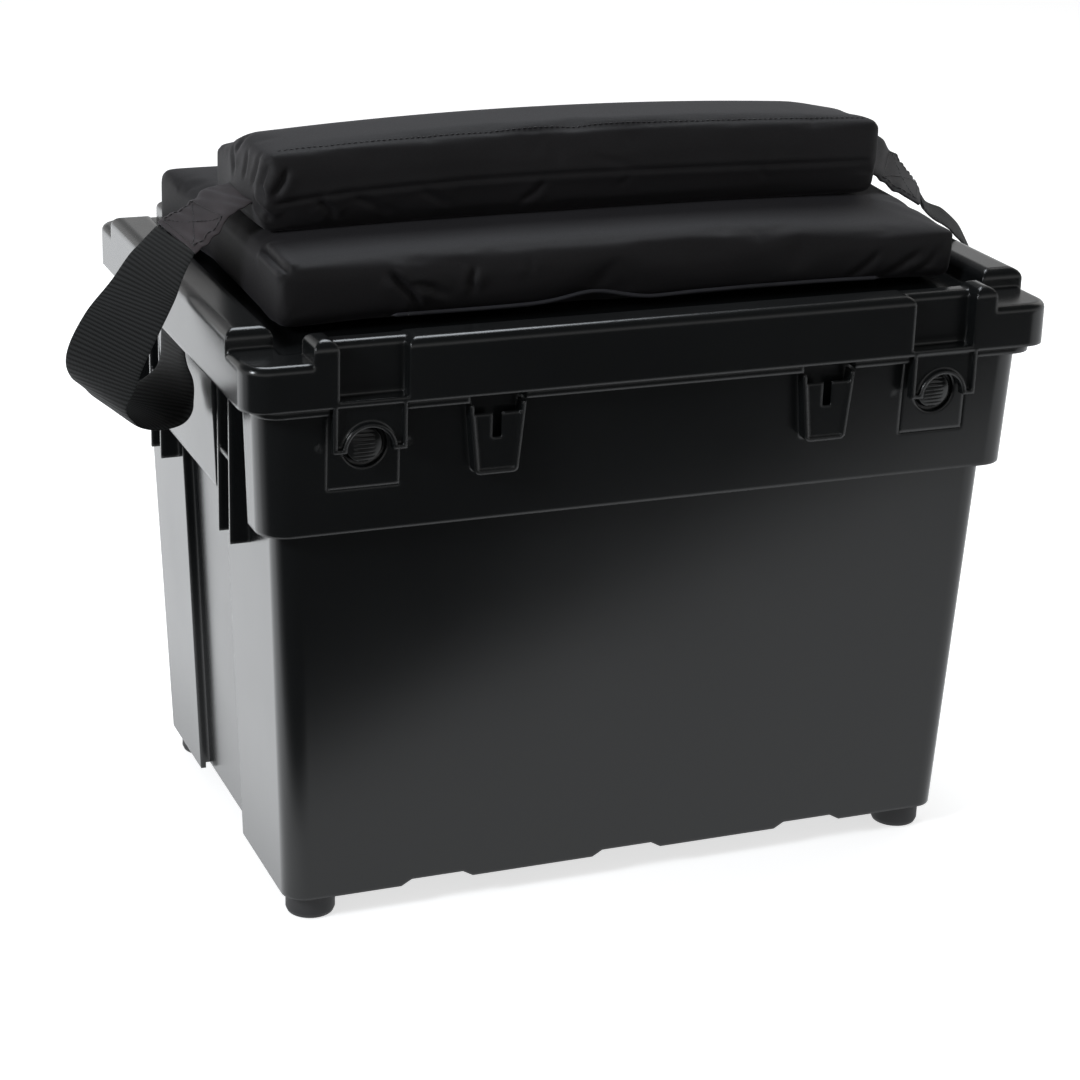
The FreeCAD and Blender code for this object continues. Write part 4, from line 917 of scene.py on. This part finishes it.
LEFT_TAB = [
    (-30, -12, 11.7, (-0.02, -1, -0.03)),
    (-16, -14, 1.7, (0.05, -0.99, -0.08)),
    (-3.5, -15, -6.3, (0.12, -0.99, -0.12)),
]
RIGHT_TAB = [
    (-42, -10, 21.7, (-0.42, -0.90, -0.18)),
    (-31, -14, 9.2, (-0.50, -0.85, -0.20)),
    (-13, -24, -8.3, (-0.41, -0.91, -0.02)),
]


def stations(side, steps, base_z):
    """Steps as places: side is -1 on the left, out is measured from the lid's side."""
    return [((side * (LID_SIDE + out), y, base_z + up), across) for out, y, up, across in steps]


def loop_stations(side, tab_end, steps):
    """The tab's end, the loop's steps, and the straight end behind the lid's skirt."""
    (x, y, z), across = tab_end
    straight = (0.0, -1.0, 0.0)
    held = [((side * (LID_SIDE - inset), 0, SKIRT_Z + rise), straight) for inset, rise in HELD_END]
    return [((x + side * 0.35, y, z - 0.45), across), *stations(side, steps, SKIRT_Z), *held]


left_tab_stations = [((1000 * pad_low[0] - 0.15, -10, 383.6), (-0.05, -1, 0.05)),
                     *stations(-1, LEFT_TAB, SEAT_TOP)]
right_tab_stations = [((1000 * pad_high[0] + 0.15, -8, 387.0), (0.05, -1, 0.05)),
                      *stations(1, RIGHT_TAB, SEAT_TOP)]
left_route = route_of(loop_stations(-1, left_tab_stations[-1], LEFT_LOOP), 220)
right_route = route_of(loop_stations(1, right_tab_stations[-1], RIGHT_LOOP), 220)
webbing_left, left_length = strip(
    "webbing_loop_left", left_route, WEBBING_WIDTH, WEBBING_THICKNESS, webbing_cloth)
webbing_right, right_length = strip(
    "webbing_loop_right", right_route, WEBBING_WIDTH, WEBBING_THICKNESS, webbing_cloth)

# %% [markdown]
# ## The cloth tabs
# Each end of the pad carries a tab of doubled nylon, folded over the webbing and sewn through
# with a box and a cross. Sewing shortens the cloth along its lines, so the tab is quilted
# between them and wrinkled at its sides, with one ridge across where the webbing ends inside.
# The right tab turns its underside up and lies in shade, so it has the darker finish of the cover
# as painted shade.

# %% Tabs
TAB_WIDTH, TAB_THICKNESS = 52 * MM, 3 * MM
# The waves cover these lengths, in metres, and the rest of a longer tab stays flat.
LEFT_WAVE_LENGTH, RIGHT_WAVE_LENGTH = 0.048, 0.046


def tab_wave(length, seed):
    """Ridge across the middle, small wrinkles as sums of waves, quilted down at both ends."""
    rng = np.random.default_rng(seed)
    turns = rng.uniform(0, 2 * math.pi, 6)

    def wave(along, across):
        t, s = along / length, across / (TAB_WIDTH / 2)
        ridge = 1.9 * np.exp(-(((t - 0.42 - 0.05 * s) / 0.09) ** 2)) * (1 - 0.3 * s**2)
        wrinkles = sum(
            0.25 * np.sin(2 * math.pi * (t * (1.3 + k) * 1.4 + s * (0.35 * (k - 2))) + turns[k])
            for k in range(5)
        )
        edge = 0.35 * np.sin(2 * math.pi * 3.1 * t + turns[5]) * np.abs(s) ** 3
        ends = np.clip(np.minimum(t, 1 - t) / 0.12, 0, 1)
        return MM * (ridge + wrinkles + edge) * ends

    return wave


left_tab_route = route_of(left_tab_stations, 90)
right_tab_route = route_of(right_tab_stations, 90)
left_wave, right_wave = tab_wave(LEFT_WAVE_LENGTH, 3), tab_wave(RIGHT_WAVE_LENGTH, 8)
tab_left, tab_left_length = strip(
    "pad_tab_left", left_tab_route, TAB_WIDTH, TAB_THICKNESS, tab_nylon, left_wave)
# painted shade: the right tab gets the darker cover nylon in place of its own tab nylon
tab_right, tab_right_length = strip(
    "pad_tab_right", right_tab_route, TAB_WIDTH, TAB_THICKNESS, cover_nylon, right_wave)

# %% [markdown]
# ## Stitches and hems
# A stitch is a short bead of thread that rises from the cloth and dives back into it. All the
# stitches of a line are one mesh: the line is cut into equal pitches, and each pitch gets five
# small rings, thin at the ends and lifted in the middle. A line is first laid on its piece: each
# of its points moves onto the tangent plane of the piece's nearest point.

# %% Stitches and hems
STITCH_PITCH, STITCH_LIFT, THREAD_RADIUS = 3.2 * MM, 0.25 * MM, 0.32 * MM
STITCH_RINGS, THREAD_SIDES, BEAD_SIDES = 5, 6, 10
BOX_NEAR, BOX_FAR, BOX_EDGE = 0.52, 0.95, 0.84  # shares of the length and of the half width
# HEM_RISE is in mm, and HEM_WINDOW in steps.
HEM_RADIUS, HEM_RISE, HEM_STEPS, HEM_WINDOW = 1.1 * MM, 1.2, 120, 31


def evened(values, window):
    """A running mean over that many values, with the ends held."""
    held = np.pad(values, window // 2, mode="edge")
    return np.convolve(held, np.ones(window) / window, mode="valid")


def rings(place, normal, radius, sides):
    """Rings of points about a line: at each step a circle of that radius, square to the line."""
    forward = unit(np.gradient(place, axis=-2))
    across = unit(np.cross(forward, normal))
    up = np.cross(across, forward)
    angle = np.linspace(0, 2 * math.pi, sides, endpoint=False)
    cosine, sine = np.cos(angle)[:, None], np.sin(angle)[:, None]
    around = across[..., None, :] * cosine + up[..., None, :] * sine
    return place[..., None, :] + around * np.broadcast_to(radius, place.shape[:-1])[..., None, None]


def stitches(name, laid_lines):
    """Rows of stitches along laid lines: five rings each, lifted as half a sine wave."""
    part = np.linspace(0.1, 0.9, STITCH_RINGS)
    bow = np.sin(math.pi * (part - 0.1) / 0.8)
    thick = (THREAD_RADIUS * (0.45 + 0.55 * bow))[None, :]
    lift = (STITCH_LIFT * (bow - 0.4))[None, :, None]
    beads = []
    for place, normal in laid_lines:
        gone = way_along(place)
        count = max(2, int(gone[-1] / STITCH_PITCH))
        at = (np.arange(count)[:, None] + part[None, :]) * gone[-1] / count
        middle, up = between(at, gone, place), unit(between(at, gone, normal))
        beads.append(rings(middle + up * lift, up, thick, THREAD_SIDES))
    points = np.concatenate(beads).reshape(-1, 3)
    each = STITCH_RINGS * THREAD_SIDES
    starts = np.arange(0, len(points), each)[:, None, None]
    faces = (starts + tube_faces(STITCH_RINGS, THREAD_SIDES)[None]).reshape(-1, 4)
    return add_mesh(name, points, faces, thread)


def bead(name, place, normal, radius, material):
    """A round bead along a laid line, closed at both ends."""
    taper = np.clip(np.minimum(np.arange(len(place)), np.arange(len(place))[::-1]) / 4, 0.2, 1)
    points = rings(place, normal, radius * taper, BEAD_SIDES)
    return add_mesh(name, points.reshape(-1, 3), tube_faces(len(place), BEAD_SIDES), material)


def on_tab(route, wave, length, side, ends):
    """A line on a tab's upper side between two (share along, share across) ends, as places and
    normals, where side is 1 or -1 for the face of the strip that looks up."""
    share = np.linspace(*ends, 40)
    at = share[:, 0] * (len(route[0]) - 1)
    place, across, normal = (between(at, np.arange(len(rows)), rows) for rows in route)
    over = share[:, 1] * TAB_WIDTH / 2
    rise = side * TAB_THICKNESS / 2 + wave(share[:, 0] * length, over)
    return place + across * over[:, None] + normal * rise[:, None], normal * side


def sewn_box(name, route, wave, length, side):
    """Stitches on a tab: a box near its outer end, and the box's two diagonals."""
    corners = [
        (BOX_NEAR, BOX_EDGE), (BOX_FAR, BOX_EDGE), (BOX_FAR, -BOX_EDGE), (BOX_NEAR, -BOX_EDGE),
    ]
    pairs = [(0, 1), (1, 2), (2, 3), (3, 0), (0, 2), (1, 3)]
    lines = [on_tab(route, wave, length, side, (corners[a], corners[b])) for a, b in pairs]
    return stitches(name, lines)


hem_x = np.linspace(-136, 150, HEM_STEPS)
hem_z = 1000 * (cushion_low[2] + hem_lift(hem_x * MM)) + HEM_RISE
hem_line = np.stack([hem_x, np.full(HEM_STEPS, FRONT_Y - 1.0), hem_z], axis=1)
hem_place, _ = lay_on(cushion, hem_line)
hem_place[:, 1] = evened(hem_place[:, 1], HEM_WINDOW) - 0.6 * MM
hem_place[:, 2] = np.interp(hem_place[:, 0], hem_x * MM, hem_z * MM)
hem_normal = np.tile([0.0, -1.0, 0.0], (len(hem_place), 1))
# the hem's lighter finish is a painted highlight
hem = bead("cushion_hem", hem_place, hem_normal, HEM_RADIUS, hem_nylon_painted_highlight)
sewing_left = sewn_box("tab_stitches_left", left_tab_route, left_wave, tab_left_length, 1)
sewing_right = sewn_box("tab_stitches_right", right_tab_route, right_wave, tab_right_length, -1)
top_line = [
    (-180, -46.5, 412), (-90, -46.5, 416), (0, -46.5, 418), (90, -46.5, 416), (166, -46.5, 412),
]
sewing_pad = stitches("pad_top_stitches", [lay_on(pad, top_line)])
print("hem, tab stitches and the pad's top line")

# %% [markdown]
# ## Button springs
# Behind each button a coil of steel wire pushes it back out. When a button goes in, its spring
# has to shorten, and a rigid CAD piece can't. So the coil is made again here as a bead of wire
# along a helix, and the share of its length that a full press leaves is worked out.

# %% Button springs
WIRE_RADIUS, SPRING_TURNS, TURN_STEPS = 0.55 * MM, 4, 32
BUTTON_TRAVEL, SPRING_PLAY = 4 * MM, 0.05 * MM


def coil_spring(side):
    """Wire along Y: x and z go round a circle while y climbs at a steady rate. Returns the piece
    with the far end that stays put, and the share of its length that a full press leaves."""
    low, high = (np.array(corner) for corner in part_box(f"button_spring_{side}"))
    middle, length = (low + high) / 2, high[1] - low[1]
    radius = (high[0] - low[0]) / 2 - WIRE_RADIUS
    turn = np.linspace(0, 2 * math.pi * SPRING_TURNS, TURN_STEPS * SPRING_TURNS + 1)
    outward = np.stack([np.cos(turn), np.zeros(len(turn)), np.sin(turn)], axis=1)
    place = middle + radius * outward
    place[:, 1] = np.linspace(low[1] + WIRE_RADIUS, high[1] - WIRE_RADIUS, len(turn))
    spring = bead(f"coil_spring_{side}", place, outward, WIRE_RADIUS, zinc)
    pressed = 1000 * (length - BUTTON_TRAVEL)
    print(f"{spring.name}: {1000 * length:.1f} mm long, {pressed:.1f} pressed")
    return spring, (middle[0], high[1], middle[2]), 1 - (BUTTON_TRAVEL + SPRING_PLAY) / length


springs = {side: coil_spring(side) for side in ("left", "right")}

# %% [markdown]
# ## What each piece stands for
# The frame still carries the CAD solids of the soft parts, and collision keeps them. Each piece
# made here rides on the body that it moves with, and the solids that it stands for are hidden.

# %% Ride and replace
for piece, stands_for, finish in (
    (cushion, ("seat_cushion_cover", "seat_foam"), "cover_cloth"),
    (pad, ("strap_pad_cover", "strap_pad_foam"), "cover_cloth"),
    (tab_left, ("strap_tab_left",), "tab_cloth"),
    (tab_right, ("strap_tab_right",), "tab_cloth"),
    (webbing_left, ("webbing_left",), "webbing"),
    (webbing_right, ("webbing_right",), "webbing"),
):
    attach(piece, "lid")
    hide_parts(*stands_for)
for trim, finish in (
    (hem, "cover_cloth"),
    (sewing_pad, "cover_cloth"),
    (sewing_left, "tab_cloth"),
    (sewing_right, "tab_cloth"),
):
    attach(trim, "lid")
for side, (spring, seat, keep) in springs.items():
    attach(spring, "base")
    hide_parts(f"button_spring_{side}")
    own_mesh(spring)
